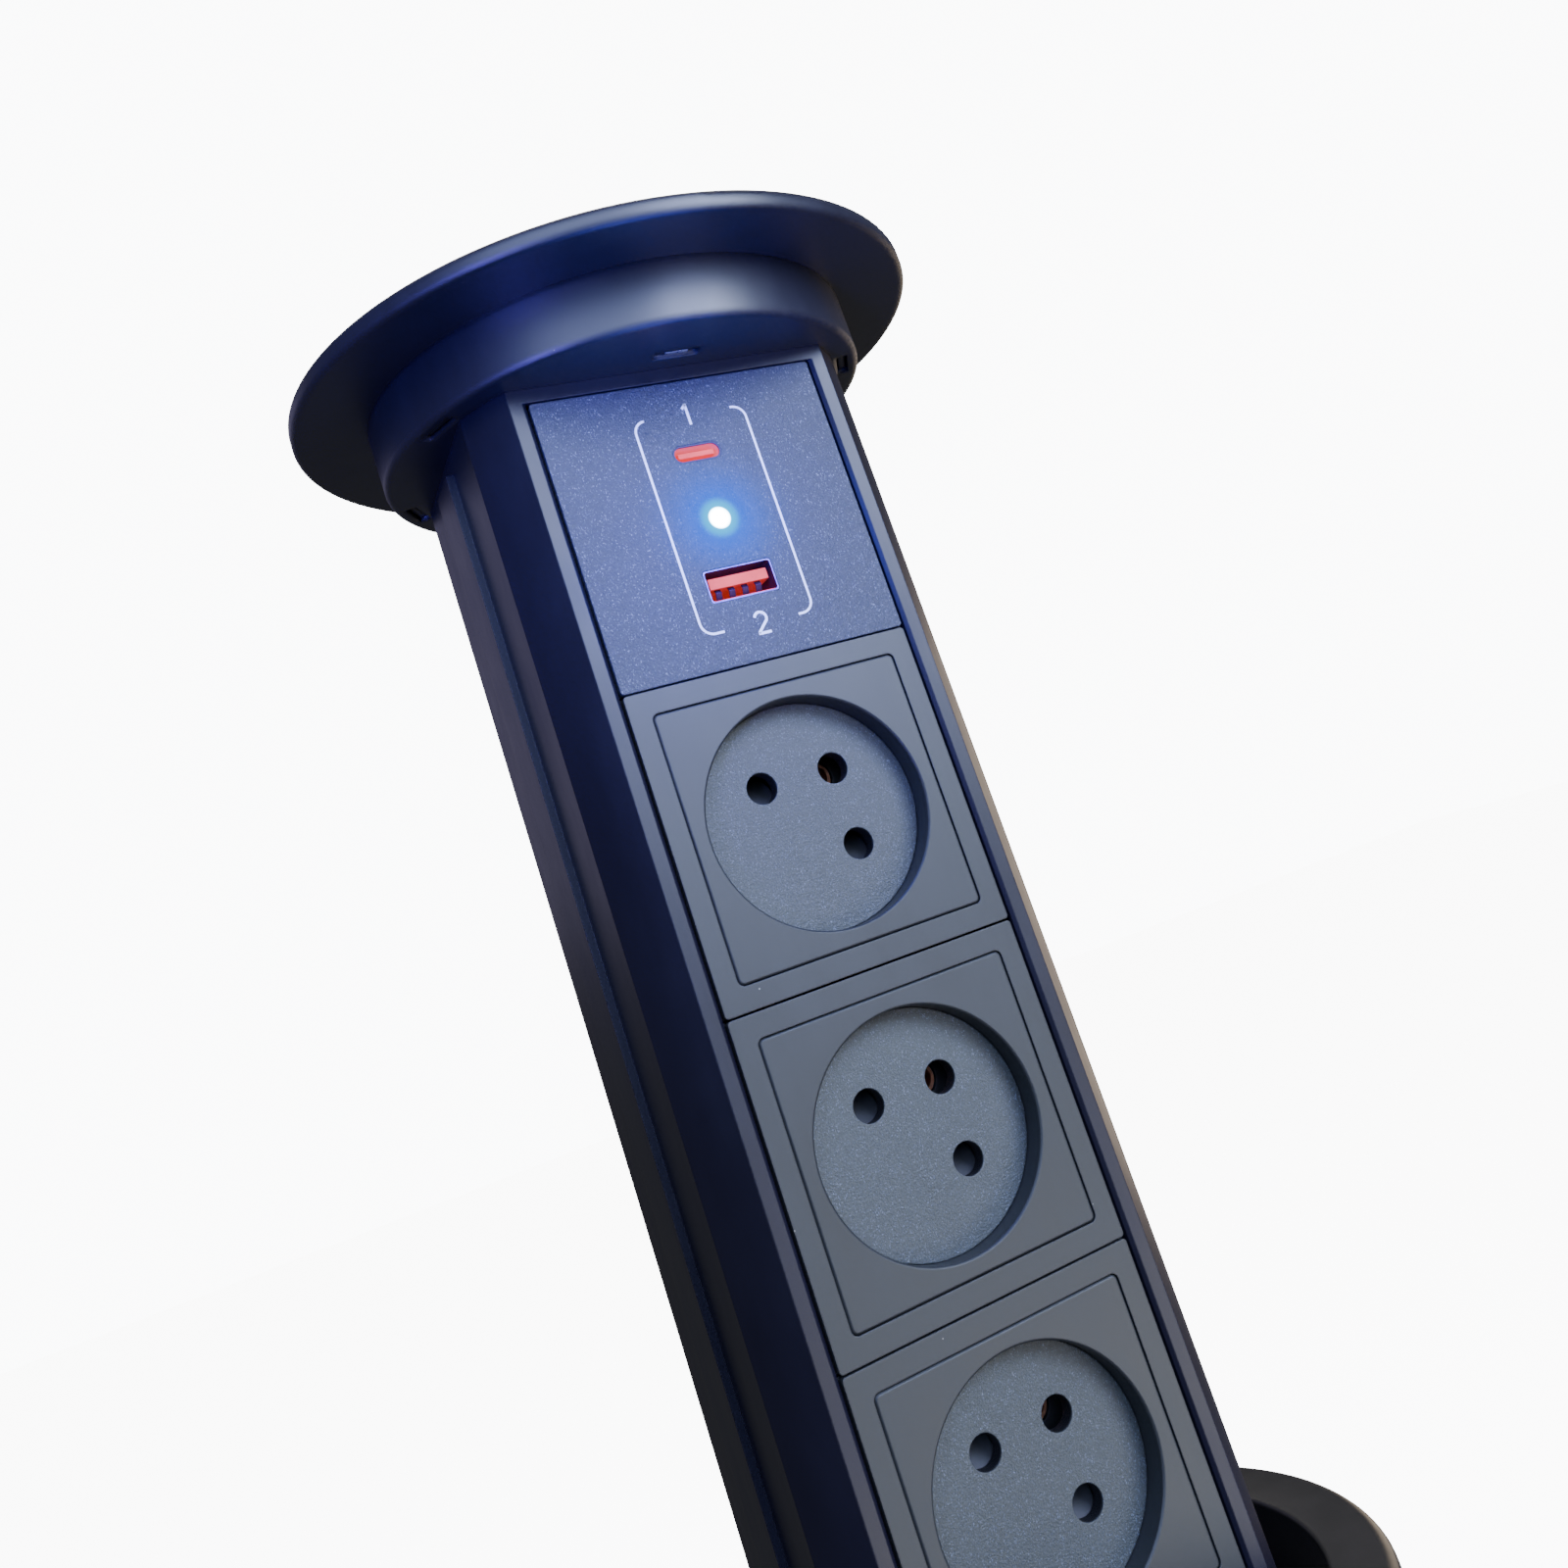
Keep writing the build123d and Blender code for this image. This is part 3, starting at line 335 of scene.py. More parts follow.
def moulded_black(name, base, roughness=MATT, specular=0.5, edge=None, grain=0.0, grain_depth=0.0, sparkle=0.0,
                  face=None, glow=False):
    """Moulded black plastic: uneven gloss, a fine skin, dust specks and softened edges; where asked, painted glints
    and painted shade in the bores behind the face.
    """
    shader = Shader(name, base, roughness, specular=specular)
    patches = shader.noise(0.030, detail=4.0)
    smears = shader.noise(0.006, detail=5.0, roughness=0.65, stretch=(1.0, 1.0, 0.35))
    uneven = shader.math("ADD", shader.scaled(patches, 0.5), shader.scaled(smears, 0.5))
    tinted = shader.mix(shader.spread(uneven, 0.3, 0.7), shade(base, 0.85), shade(base, 1.2))
    rough = shader.spread(uneven, 0.25, 0.75, roughness - 0.06, roughness + 0.07)
    normal = shader.bevel(edge or settings("tower_finish").edge_round)
    normal = shader.bump(shader.noise(0.00035, detail=2.0), 0.00001, 0.35, normal)
    if grain:
        coarse = shader.noise(grain, roughness=0.6)
        pits = shader.cells(grain * 1.6)
        height = shader.math("ADD", shader.scaled(coarse, 0.7), shader.scaled(pits, 0.3))
        normal = shader.bump(height, grain_depth, 1.0, normal)
        tinted = shader.mix(shader.spread(coarse, 0.45, 0.75, 0.0, 0.5), tinted, shade(base, 2.2))
    # Painted highlights: pale blue glints mixed into the colour where the grain would catch the light.
    if sparkle:
        glint_spots = shader.noise(grain * 0.75, detail=2.0, stretch=(1.0, 1.0, 0.7))
        drift = shader.noise(0.0022, detail=2.0)
        painted_glint = shader.math("MULTIPLY", shader.spread(glint_spots, 0.60, 0.76), shader.spread(drift, 0.35, 0.65, 0.35, 1.0))
        tinted = shader.mix(shader.scaled(painted_glint, sparkle), tinted, PAINTED_GLINT_COLOUR)
        rough = shader.math("SUBTRACT", rough, shader.scaled(painted_glint, 0.2))
    tinted = shader.mix(shader.scaled(dust_specks(shader), 0.5), tinted, DUST_COLOUR)
    # Painted shade: behind the face, down the bores, the colour turns near black.
    if face is not None:
        tinted = shader.mix(shader.spread(shader.behind(face), 0.0002, 0.0006), tinted, BORE_SHADE)
    if glow:
        tinted, rough = add_glow(shader, tinted, rough)
    return shader.paint(base_color=tinted, roughness=rough, normal=normal)


def add_glow(shader, colour_below, rough_below):
    """The indicator's light painted on the panel as glow: a dazzling core, a bright ring and a haze, over the colour
    given back, which turns black under the haze.
    """
    light = settings("tower_glow")
    ring_strength, haze_strength, core_strength = 0.8, 1.7, 14.0
    away = shader.vector("DISTANCE", shader.place, LENS_CENTRE, "Value")
    near = shader.math("DIVIDE", away, light.halo_radius)
    halo = shader.falloff(near, 8.0)
    haze = shader.falloff(shader.math("DIVIDE", away, light.haze_radius), 2.0)
    dazzle = shader.falloff(shader.scaled(near, 1.76), 24.0)
    shine = shader.math("ADD", shader.scaled(halo, ring_strength), shader.scaled(haze, haze_strength))
    shader.paint(metallic=haze, emission_strength=shader.math("ADD", shine, shader.scaled(dazzle, core_strength)),
                 emission_color=shader.mix(dazzle, shader.mix(halo, light.haze, light.halo), light.core))
    # Under the haze the colour turns black and the surface metallic, so that the painted glow shows without the
    # panel's own reflections.
    return shader.mix(haze, colour_below, (0.0, 0.0, 0.0)), shader.math("MAXIMUM", rough_below, halo)


def metal(name, base, roughness):
    """Plain stamped or turned metal with fine drawing lines and a little tarnish."""
    shader = Shader(name, base, roughness, metallic=1.0)
    lines = shader.noise(0.0004, detail=4.0)
    stain = shader.noise(0.004, detail=4.0)
    return shader.paint(base_color=shader.mix(shader.spread(stain, 0.4, 0.75, 0.0, 0.25), base, shade(base, 0.45)),
                        roughness=shader.spread(lines, 0.3, 0.7, roughness - 0.08, roughness + 0.12),
                        normal=shader.bump(lines, 0.00001, 0.5, shader.bevel(0.00012)))


def coloured_plastic(name, base, roughness=MATT, specular=0.5, lit=0.0):
    """A coloured moulding with a faint mottle and skin, and a little painted glow, as if lit from behind, where asked.
    """
    shader = Shader(name, base, roughness, specular=specular)
    cloud = shader.noise(0.003, detail=4.0)
    # The emission is painted glow, not a lamp.
    return shader.paint(base_color=shader.mix(shader.spread(cloud, 0.3, 0.7), shade(base, 0.85), shade(base, 1.15)),
                        normal=shader.fine_skin(), emission_color=(*base, 1.0), emission_strength=lit)


def port_glow(name, base):
    """A port's dull metal rim, with a painted reflection of its tongue's colour glowing on the metal inside."""
    shader = Shader(name, base, 0.4, specular=0.2)
    # Painted reflection: inside the rim the metal takes the tongue's pink and glows with it.
    inside = shader.spread(shader.behind(FRONT_Y), 0.00025, 0.0006)
    return shader.paint(base_color=shader.mix(inside, PORT_RIM, base), normal=shader.fine_skin(),
                        emission_color=(*base, 1.0), emission_strength=shader.scaled(inside, 0.7))


def soft_rubber(name, base):
    """Dull rubber with a bloom."""
    shader = Shader(name, base, 0.75)
    bloom = shader.noise(0.004, detail=5.0)
    return shader.paint(base_color=shader.mix(shader.spread(bloom, 0.4, 0.7, 0.0, 0.6), base, BLOOM),
                        normal=shader.bump(shader.noise(0.0006), 0.00003, 0.6))


def circuit_green(name, base):
    """Solder mask with paler copper tracks under it."""
    shader = Shader(name, base, 0.35)
    upright = shader.node("ShaderNodeMapping", {"Vector": shader.place, "Rotation": (math.pi / 2, 0.0, 0.0)})
    bricks = shader.node("ShaderNodeTexBrick", {"Vector": upright.outputs[0], "Scale": 90.0, "Mortar Size": 0.06})
    tracks = bricks.outputs["Fac"]
    return shader.paint(base_color=shader.mix(tracks, base, COPPER_GREEN), normal=shader.bump(tracks, 0.00002, 0.5))


def lit_lens(name, base):
    """The indicator's lens, shining a little unevenly."""
    shader = Shader(name, base, 0.2)
    return shader.paint(emission_color=(*base, 1.0),
                        emission_strength=shader.spread(shader.noise(0.0012), 0.2, 0.8, 26.0, 34.0))


def white_ink(name, base):
    """Printed ink, worn thin in places."""
    shader = Shader(name, base, 0.55)
    worn = shader.noise(0.0009, detail=4.0)
    return shader.paint(base_color=shader.mix(shader.spread(worn, 0.52, 0.75, 0.0, 0.45), base, shade(base, 0.5)),
                        normal=shader.bump(worn, 0.00001, 0.4))


MATERIALS = {}


def finish(name):
    """The named finish, made once."""
    if name not in MATERIALS:
        look = settings("tower_finish")
        maker, base, values = {
            "shell_satin": (moulded_black, look.shell_black, dict(roughness=SATIN, specular=0.42)),
            "ring_satin": (moulded_black, look.ring_black, dict(roughness=0.36)),
            "cap_satin": (moulded_black, look.cap_black, dict(roughness=SATIN, specular=0.68, edge=look.rim_round)),
            "frame_satin": (moulded_black, look.frame_black, dict(roughness=0.44)),
            "well_spark": (moulded_black, look.well_black, dict(
                roughness=0.48, grain=look.grain * 0.8, grain_depth=0.00016, sparkle=0.35, face=WELL_FLOOR_Y)),
            "panel_spark": (moulded_black, look.panel_black, dict(
                roughness=0.42, grain=look.grain, grain_depth=0.00030, sparkle=0.6, glow=True)),
            "hidden_black": (moulded_black, (0.012, 0.012, 0.013), {}),
            "nylon_black": (moulded_black, (0.016, 0.016, 0.017), dict(grain=0.0006, grain_depth=0.00002)),
            "rubber": (soft_rubber, (0.010, 0.010, 0.011), {}),
            "shutter": (coloured_plastic, look.shutter_grey, dict(specular=0.25)),
            "catch": (coloured_plastic, (0.55, 0.56, 0.58), dict(roughness=0.45)),
            "tongue": (coloured_plastic, look.tongue, dict(specular=0.12, lit=0.20)),
            "winding_tape": (coloured_plastic, (0.62, 0.45, 0.06), dict(roughness=0.35)),
            "can_sleeve": (coloured_plastic, (0.02, 0.02, 0.05), dict(roughness=0.3)),
            "brass": (metal, look.brass, dict(roughness=0.28)),
            "pin_brass": (metal, look.pin_brass, dict(roughness=0.48)),
            "port_metal": (metal, (0.12, 0.09, 0.34), dict(roughness=0.4)),
            "port_glow": (port_glow, look.port_pink, {}),
            "dark_spring": (metal, (0.045, 0.02, 0.07), dict(roughness=0.4)),
            "zinc": (metal, (0.60, 0.60, 0.63), dict(roughness=0.32)),
            "spring_wire": (metal, (0.50, 0.50, 0.52), dict(roughness=0.3)),
            "circuit": (circuit_green, (0.008, 0.075, 0.03), {}),
            "lens": (lit_lens, settings("tower_glow").core, {}),
            "ink": (white_ink, settings("tower_print").ink, {}),
        }[name]
        MATERIALS[name] = maker(name, base, **values)
    return MATERIALS[name]


def each(*parts):
    return [f"{part}_{number}" for part in parts for number in SOCKETS]


NODE_FINISHES = {
    "shell_satin": ["column_shell"],
    "ring_satin": ["desk_bezel"],
    "cap_satin": ["cap_disc", "cap_ring"],
    "frame_satin": ["blank_panel"] + each("socket_frame", "socket_insert"),
    "well_spark": each("socket_core"),
    "panel_spark": ["usb_panel"],
    "hidden_black": ["usb_rear_cover"] + each("contact_block"),
    "nylon_black": ["guide_sleeve", "clamp_washer", "lock_nut", "foot_cap", "gland_body", "gland_nut"],
    "rubber": ["seal_gasket", "wiper_seal", "gland_seal"],
    "shutter": each("shutter"),
    "catch": ["catch"],
    "tongue": ["usb_a_tongue", "usb_c_tongue"],
    "winding_tape": ["usb_transformer"],
    "can_sleeve": ["usb_capacitors"],
    "brass": ["live_bar", "neutral_bar", "earth_bar", "usb_feed_pins", "usb_a_contacts"],
    "pin_brass": each("contacts"),
    "port_metal": ["usb_a_shell"],
    "port_glow": ["usb_c_shell"],
    "zinc": ["cap_screws", "foot_screws", "sleeve_screws"],
    "spring_wire": ["catch_spring"] + each("shutter_spring"),
    "circuit": ["usb_board"],
    "lens": ["indicator_lens"],
}


# Mesh helpers


def mesh_piece(name, parts, material, body, smooth=False):
    """A piece at the origin from parts of (points, faces), with outward normals, on its body."""
    vertices, faces = [], []
    for points, loops in parts:
        start = len(vertices)
        vertices += points
        faces += [tuple(start + i for i in loop) for loop in loops]
    mesh = bpy.data.meshes.new(name)
    mesh.from_pydata(vertices, [], faces)
    piece = add_object(name, mesh)
    work = bmesh.new()
    work.from_mesh(mesh)
    bmesh.ops.recalc_face_normals(work, faces=work.faces)
    work.to_mesh(mesh)
    work.free()
    mesh.materials.append(material)
    mesh.polygons.foreach_set("use_smooth", [smooth] * len(mesh.polygons))
    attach(piece, body)
    return piece


def swept_faces(sides, steps):
    """Faces of a bar with so many sides, swept over so many steps and closed at both ends."""
    faces = []
    for step in range(steps):
        for side in range(sides):
            a, b = sides * step + side, sides * step + (side + 1) % sides
            faces.append((a, b, b + sides, a + sides))
    last = sides * steps
    return faces + [tuple(range(sides)), tuple(range(last + sides - 1, last - 1, -1))]


def prism(profile, half):
    """A closed bar with a profile of (y, z) points, from -half to half along x."""
    return [(x, y, z) for x in (-half, half) for y, z in profile], swept_faces(len(profile), 1)


def normals(path):
    """The unit normal of a flat path at each of its points."""
    found = []
    for i in range(len(path)):
        (x_before, z_before), (x_after, z_after) = path[max(i - 1, 0)], path[min(i + 1, len(path) - 1)]
        run = math.hypot(x_after - x_before, z_after - z_before)
        found.append(((z_before - z_after) / run, (x_after - x_before) / run))
    return found


def ribbon(path, width, back, front):
    """A thin raised line along a path of (x, z) points on the panel."""
    points = []
    for (x, z), (nx, nz) in zip(path, normals(path)):
        dx, dz = nx * width / 2, nz * width / 2
        points += [(x + dx, front, z + dz), (x - dx, front, z - dz), (x - dx, back, z - dz), (x + dx, back, z + dz)]
    return points, swept_faces(4, len(path) - 1)


def arc(x, z, radius, start, end, steps=8):
    """Points of an arc about (x, z), with its start and end in degrees."""
    turns = [math.radians(start + (end - start) * i / steps) for i in range(steps + 1)]
    return [(x + radius * math.cos(turn), z + radius * math.sin(turn)) for turn in turns]


def solid_boxes(node):
    """The low and high corner of each separate solid in a CAD node."""
    work = bmesh.new()
    work.from_mesh(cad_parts[node].data)
    bmesh.ops.remove_doubles(work, verts=work.verts, dist=1e-6)
    left, found = set(work.verts), []
    while left:
        places, edge = [], [left.pop()]
        while edge:
            vertex = edge.pop()
            places.append(vertex.co)
            beyond = left.intersection(e.other_vert(vertex) for e in vertex.link_edges)
            left -= beyond
            edge.extend(beyond)
        found.append([Vector([pick(place[k] for place in places) for k in range(3)]) for pick in (min, max)])
    work.free()
    return found


class Tree(Nodes):
    """A Geometry Nodes tree with one geometry input and named sizes."""

    def __init__(self, name, sizes):
        super().__init__(bpy.data.node_groups.new(name, "GeometryNodeTree"))
        socket = self.tree.interface.new_socket
        socket("Geometry", in_out="INPUT", socket_type="NodeSocketGeometry")
        for label, kind, default in sizes:
            socket(label, in_out="INPUT", socket_type=kind).default_value = default
        socket("Geometry", in_out="OUTPUT", socket_type="NodeSocketGeometry")
        self.sizes = self.node("NodeGroupInput").outputs
        self.ends = self.node("NodeGroupOutput")

    def lifted(self, geometry, height):
        """The geometry moved up by a height."""
        offset = self.node("ShaderNodeCombineXYZ", {"Z": height}).outputs[0]
        return self.node("GeometryNodeTransform", {"Geometry": geometry, "Translation": offset}).outputs[0]

    def paint(self, geometry, material):
        """Every tree ends in Realize Instances and Set Material."""
        real = self.node("GeometryNodeRealizeInstances", {0: geometry}).outputs[0]
        painted = self.node("GeometryNodeSetMaterial", {"Geometry": real, "Material": material})
        self.fill(self.ends.inputs[0], painted.outputs[0])

    def bake(self, name, values, points, body):
        """Runs the tree over points and keeps the result as a plain mesh on its body."""
        seed = bpy.data.meshes.new(name + "_points")
        seed.from_pydata(points, [], [])
        holder = add_object(name + "_seed", seed)
        modifier = holder.modifiers.new(name, "NODES")
        modifier.node_group = self.tree
        for item in self.tree.interface.items_tree:
            if item.in_out == "INPUT" and item.name in values:
                modifier[item.identifier] = values[item.name]
        bpy.context.view_layer.update()
        mesh = bpy.data.meshes.new_from_object(holder.evaluated_get(bpy.context.evaluated_depsgraph_get()))
        bpy.data.objects.remove(holder)
        mesh.name = name
        piece = add_object(name, mesh)
        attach(piece, body)
        return piece


# Operators


class TOWER_OT_finish_mouldings(bpy.types.Operator):
    """Give every carried-over piece its finish"""
    bl_idname = "tower.finish_mouldings"
    bl_label = "Finish Mouldings and Metals"

    def execute(self, context):
        for name, nodes in NODE_FINISHES.items():
            for node in nodes:
                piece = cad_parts[node]
                piece.data.materials.clear()
                piece.data.materials.append(finish(name))
        return {"FINISHED"}


class TOWER_OT_print_outline(bpy.types.Operator):
    """Print the rounded outline and the two port numbers on the USB panel"""
    bl_idname = "tower.print_outline"
    bl_label = "Print Panel Outline"

    # The gap behind the ink, and the figures' stroke in widths of the line.
    INK_GAP, BOLD = 0.000004, 1.15
    # Strokes of plain figures, in half heights about their middle.
    FIGURE_ONE = [[(-0.32, 0.55), (0.10, 0.95)], [(0.06, 1.0), (0.06, -1.0)]]
    FIGURE_TWO = [arc(0.0, 0.42, 0.54, 165, -30) + [(-0.55, -0.86)], [(-0.60, -0.90), (0.60, -0.90)]]

    def execute(self, context):
        ink = settings("tower_print")
        top, bottom, radius = ink.top, ink.bottom, ink.corner
        halves = []
        for side, x, top_end, bottom_end in (
                (-1, ink.left, ink.top_left, ink.bottom_left), (1, ink.right, ink.top_right, ink.bottom_right)):
            middle, level = x - side * radius, 90 - 90 * side
            halves.append([(top_end, top)] + arc(middle, top - radius, radius, 90, level)
                          + arc(middle, bottom + radius, radius, level, level - 90 * side) + [(bottom_end, bottom)])
        self.print_lines("printed_outline", halves, ink.line_width)
        for name, strokes, x, height in (
                ("port_number_1", self.FIGURE_ONE, (ink.top_left + ink.top_right) / 2, top),
                ("port_number_2", self.FIGURE_TWO, (ink.bottom_left + ink.bottom_right) / 2, bottom)):
            half = ink.digit / 2
            paths = [[(x + half * u, height + half * v) for u, v in stroke] for stroke in strokes]
            self.print_lines(name, paths, ink.line_width * self.BOLD)
        return {"FINISHED"}

    def print_lines(self, name, paths, width):
        back, front = FRONT_Y - self.INK_GAP, FRONT_Y - settings("tower_print").film
        lines = [ribbon(path, width, back, front) for path in paths]
        mesh_piece(name, lines, finish("ink"), "column")


class TOWER_OT_thread_collar(bpy.types.Operator):
    """Turn the desk ring and its collar, with the thread cut on the collar"""
    bl_idname = "tower.thread_collar"
    bl_label = "Thread Collar"

    # How far inside the ring's edge these lie.
    GROOVE_INSET, COLLAR_INSET, NEST_INSET, BORE_INSET = 0.00685, 0.00835, 0.01085, 0.01235
    NEST_ROUND, EDGE_ROUND, CHAMFER, GASKET_ROOM = 0.0008, 0.002, 0.0012, 0.0001
    # The thread's crest and its flank, as shares of half a pitch.
    CREST, FLANK = 0.20, 0.55
    SHARP = math.radians(38)

    def execute(self, context):
        cut = settings("tower_thread")
        outer, top, foot = BEZEL_HIGH.x, BEZEL_HIGH.z, BEZEL_LOW.z
        gasket, nest_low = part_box("seal_gasket")[1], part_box("guide_sleeve")[1].z
        collar, nest, bore = (outer - inset for inset in (self.COLLAR_INSET, self.NEST_INSET, self.BORE_INSET))
        groove_out, groove_in = gasket.x + self.GASKET_ROOM, outer - self.GROOVE_INSET
        high, low = -cut.runout, foot + cut.runout
        profile = [(bore, foot), (bore, nest_low), (nest, nest_low)]
        profile += arc(nest + self.NEST_ROUND, top - self.NEST_ROUND, self.NEST_ROUND, 180, 90, 4)
        profile += arc(outer - self.EDGE_ROUND, top - self.EDGE_ROUND, self.EDGE_ROUND, 90, 0)
        profile += [(outer, 0.0), (groove_out, 0.0), (groove_out, gasket.z), (groove_in, gasket.z), (groove_in, 0.0)]
        profile += [(collar, 0.0), (collar, high)]
        start = len(profile)
        profile += [(collar, high + (low - high) * row / cut.rows) for row in range(1, cut.rows)]
        end = len(profile)
        profile += [(collar, low), (collar, foot + self.CHAMFER), (collar - self.CHAMFER, foot)]
        columns, count = cut.columns, len(profile)
        vertices, faces = [], []
        for column in range(columns):
            share, after = column / columns, (column + 1) % columns
            for i, (radius, height) in enumerate(profile):
                if start <= i < end:
                    depth = cut.depth * self.groove(height / cut.pitch - share)
                    radius -= depth * min(1.0, (high - height) / cut.pitch, (height - low) / cut.pitch)
                turn, j = 2 * math.pi * share, (i + 1) % count
                vertices.append((radius * math.cos(turn), radius * math.sin(turn), height))
                faces.append((column * count + i, column * count + j, after * count + j, after * count + i))
        piece = mesh_piece("threaded_desk_ring", [(vertices, faces)], finish("ring_satin"), "desk_mount", smooth=True)
        piece.data.set_sharp_from_angle(angle=self.SHARP)
        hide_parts("desk_bezel")
        return {"FINISHED"}

    def groove(self, turns):
        """Depth of a trapezoid thread at a place along its pitch, from 0 at the crest to 1 at the root."""
        place = abs((turns % 1.0) - 0.5) * 2
        flank = min(1.0, max(0.0, (place - self.CREST) / self.FLANK))
        return flank * flank * (3.0 - 2.0 * flank)


class TOWER_OT_cut_screws(bpy.types.Operator):
    """Make the screws, with flat round heads and cross recesses"""
    bl_idname = "tower.cut_screws"
    bl_label = "Cut Screws"

    # The head that the recess sizes are given for, and the shank's share of it.
    HEAD_RADIUS, HEAD_HEIGHT, SHANK = 0.003, 0.0018, 0.56
    SIDES = 28
    # Lengths of the recess's two bars, in recess depths; unequal, so that their floors don't meet.
    REACHES = (2.0, 1.85)
    SIZES = ("Head radius", "Head height", "Shank radius", "Length", "Recess", "Arm", "Recess depth")

    def execute(self, context):
        slots = settings("tower_screws")
        for node, body in (("cap_screws", "column"), ("foot_screws", "column"), ("sleeve_screws", "desk_mount")):
            boxes = solid_boxes(node)
            up = node == "cap_screws"
            low, high = boxes[0]
            head = (high.x - low.x) / 2
            scale = head / self.HEAD_RADIUS
            head_height = self.HEAD_HEIGHT * scale
            sizes = (head, head_height, head * self.SHANK, high.z - low.z - head_height,
                     slots.recess * scale, slots.arm * scale, slots.recess_depth * scale)
            points = [((a.x + b.x) / 2, (a.y + b.y) / 2, high.z if up else low.z) for a, b in boxes]
            tree = self.screw_tree(node, -1.0 if up else 1.0)
            piece = tree.bake(node + "_turned", dict(zip(self.SIZES, sizes)), points, body)
            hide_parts(node)
        return {"FINISHED"}

    def screw_tree(self, name, way):
        """A head and shank that run up from each point, or down where way is -1."""
        tree = Tree(name + "_tree", [(label, "NodeSocketFloat", 0.001) for label in self.SIZES])
        size = tree.sizes
        head = self.cylinder(tree, size["Head radius"], size["Head height"], way)
        shank = self.cylinder(tree, size["Shank radius"], size["Length"], way, size["Head height"])
        for x_size, y_size, reach in zip(("Recess", "Arm"), ("Arm", "Recess"), self.REACHES):
            depth = tree.scaled(size["Recess depth"], reach)
            box = tree.node("ShaderNodeCombineXYZ", {"X": size[x_size], "Y": size[y_size], "Z": depth})
            bar = tree.node("GeometryNodeMeshCube", {"Size": box.outputs[0]})
            head = tree.node("GeometryNodeMeshBoolean", {"Mesh 1": head, "Mesh 2": bar.outputs["Mesh"]},
                             operation="DIFFERENCE").outputs[0]
        join = tree.node("GeometryNodeJoinGeometry", {0: head})
        tree.fill(join.inputs[0], shank)
        place = tree.node("GeometryNodeInstanceOnPoints", {"Points": size["Geometry"], "Instance": join.outputs[0]})
        tree.paint(place.outputs[0], finish("zinc"))
        return tree

    def cylinder(self, tree, radius, depth, way, beyond=None):
        """An upright cylinder that starts at the point, or beyond it by a height."""
        made = tree.node("GeometryNodeMeshCylinder", {"Vertices": self.SIDES, "Radius": radius, "Depth": depth})
        middle = tree.scaled(depth, 0.5 * way)
        if beyond is not None:
            middle = tree.math("MULTIPLY_ADD", beyond, way, middle)
        return tree.lifted(made.outputs["Mesh"], middle)


class TOWER_OT_grip_ribs(bpy.types.Operator):
    """Set the fine grip ribs round the lock nut"""
    bl_idname = "tower.grip_ribs"
    bl_label = "Grip Ribs"

    # How far the ribs lie inside the nut's width, and their gap to its two faces.
    INSET, END_GAP = 0.005, 0.0015

    def execute(self, context):
        grip = settings("tower_grip")
        height = NUT_HIGH.z - NUT_LOW.z - 2 * self.END_GAP
        tree = Tree("grip_rib_tree", [
            ("Ribs", "NodeSocketInt", 96), ("Radius", "NodeSocketFloat", 0.05),
            ("Rib size", "NodeSocketVector", (0.001, 0.001, 0.01)), ("Level", "NodeSocketFloat", 0.0)])
        size = tree.sizes
        ring = tree.node("GeometryNodeMeshCircle", {"Vertices": size["Ribs"], "Radius": size["Radius"]})
        rib = tree.node("GeometryNodeMeshCylinder", {"Vertices": 8, "Radius": 0.5, "Depth": 1.0})
        position_on_ring = tree.node("GeometryNodeInputPosition").outputs[0]
        outward = tree.node("FunctionNodeAlignRotationToVector", {"Vector": position_on_ring}, axis="X")
        place = tree.node("GeometryNodeInstanceOnPoints", {
            "Points": ring.outputs[0], "Instance": rib.outputs["Mesh"], "Rotation": outward.outputs[0],
            "Scale": size["Rib size"]})
        tree.paint(tree.lifted(place.outputs[0], size["Level"]), finish("nylon_black"))
        values = {"Ribs": grip.ribs, "Radius": NUT_HIGH.x - self.INSET,
                  "Rib size": (2 * grip.rib_height, grip.rib_width, height),
                  "Level": NUT_LOW.z + self.END_GAP + height / 2}
        piece = tree.bake("grip_ribs", values, [(0, 0, 0)], "nut_body")
        return {"FINISHED"}


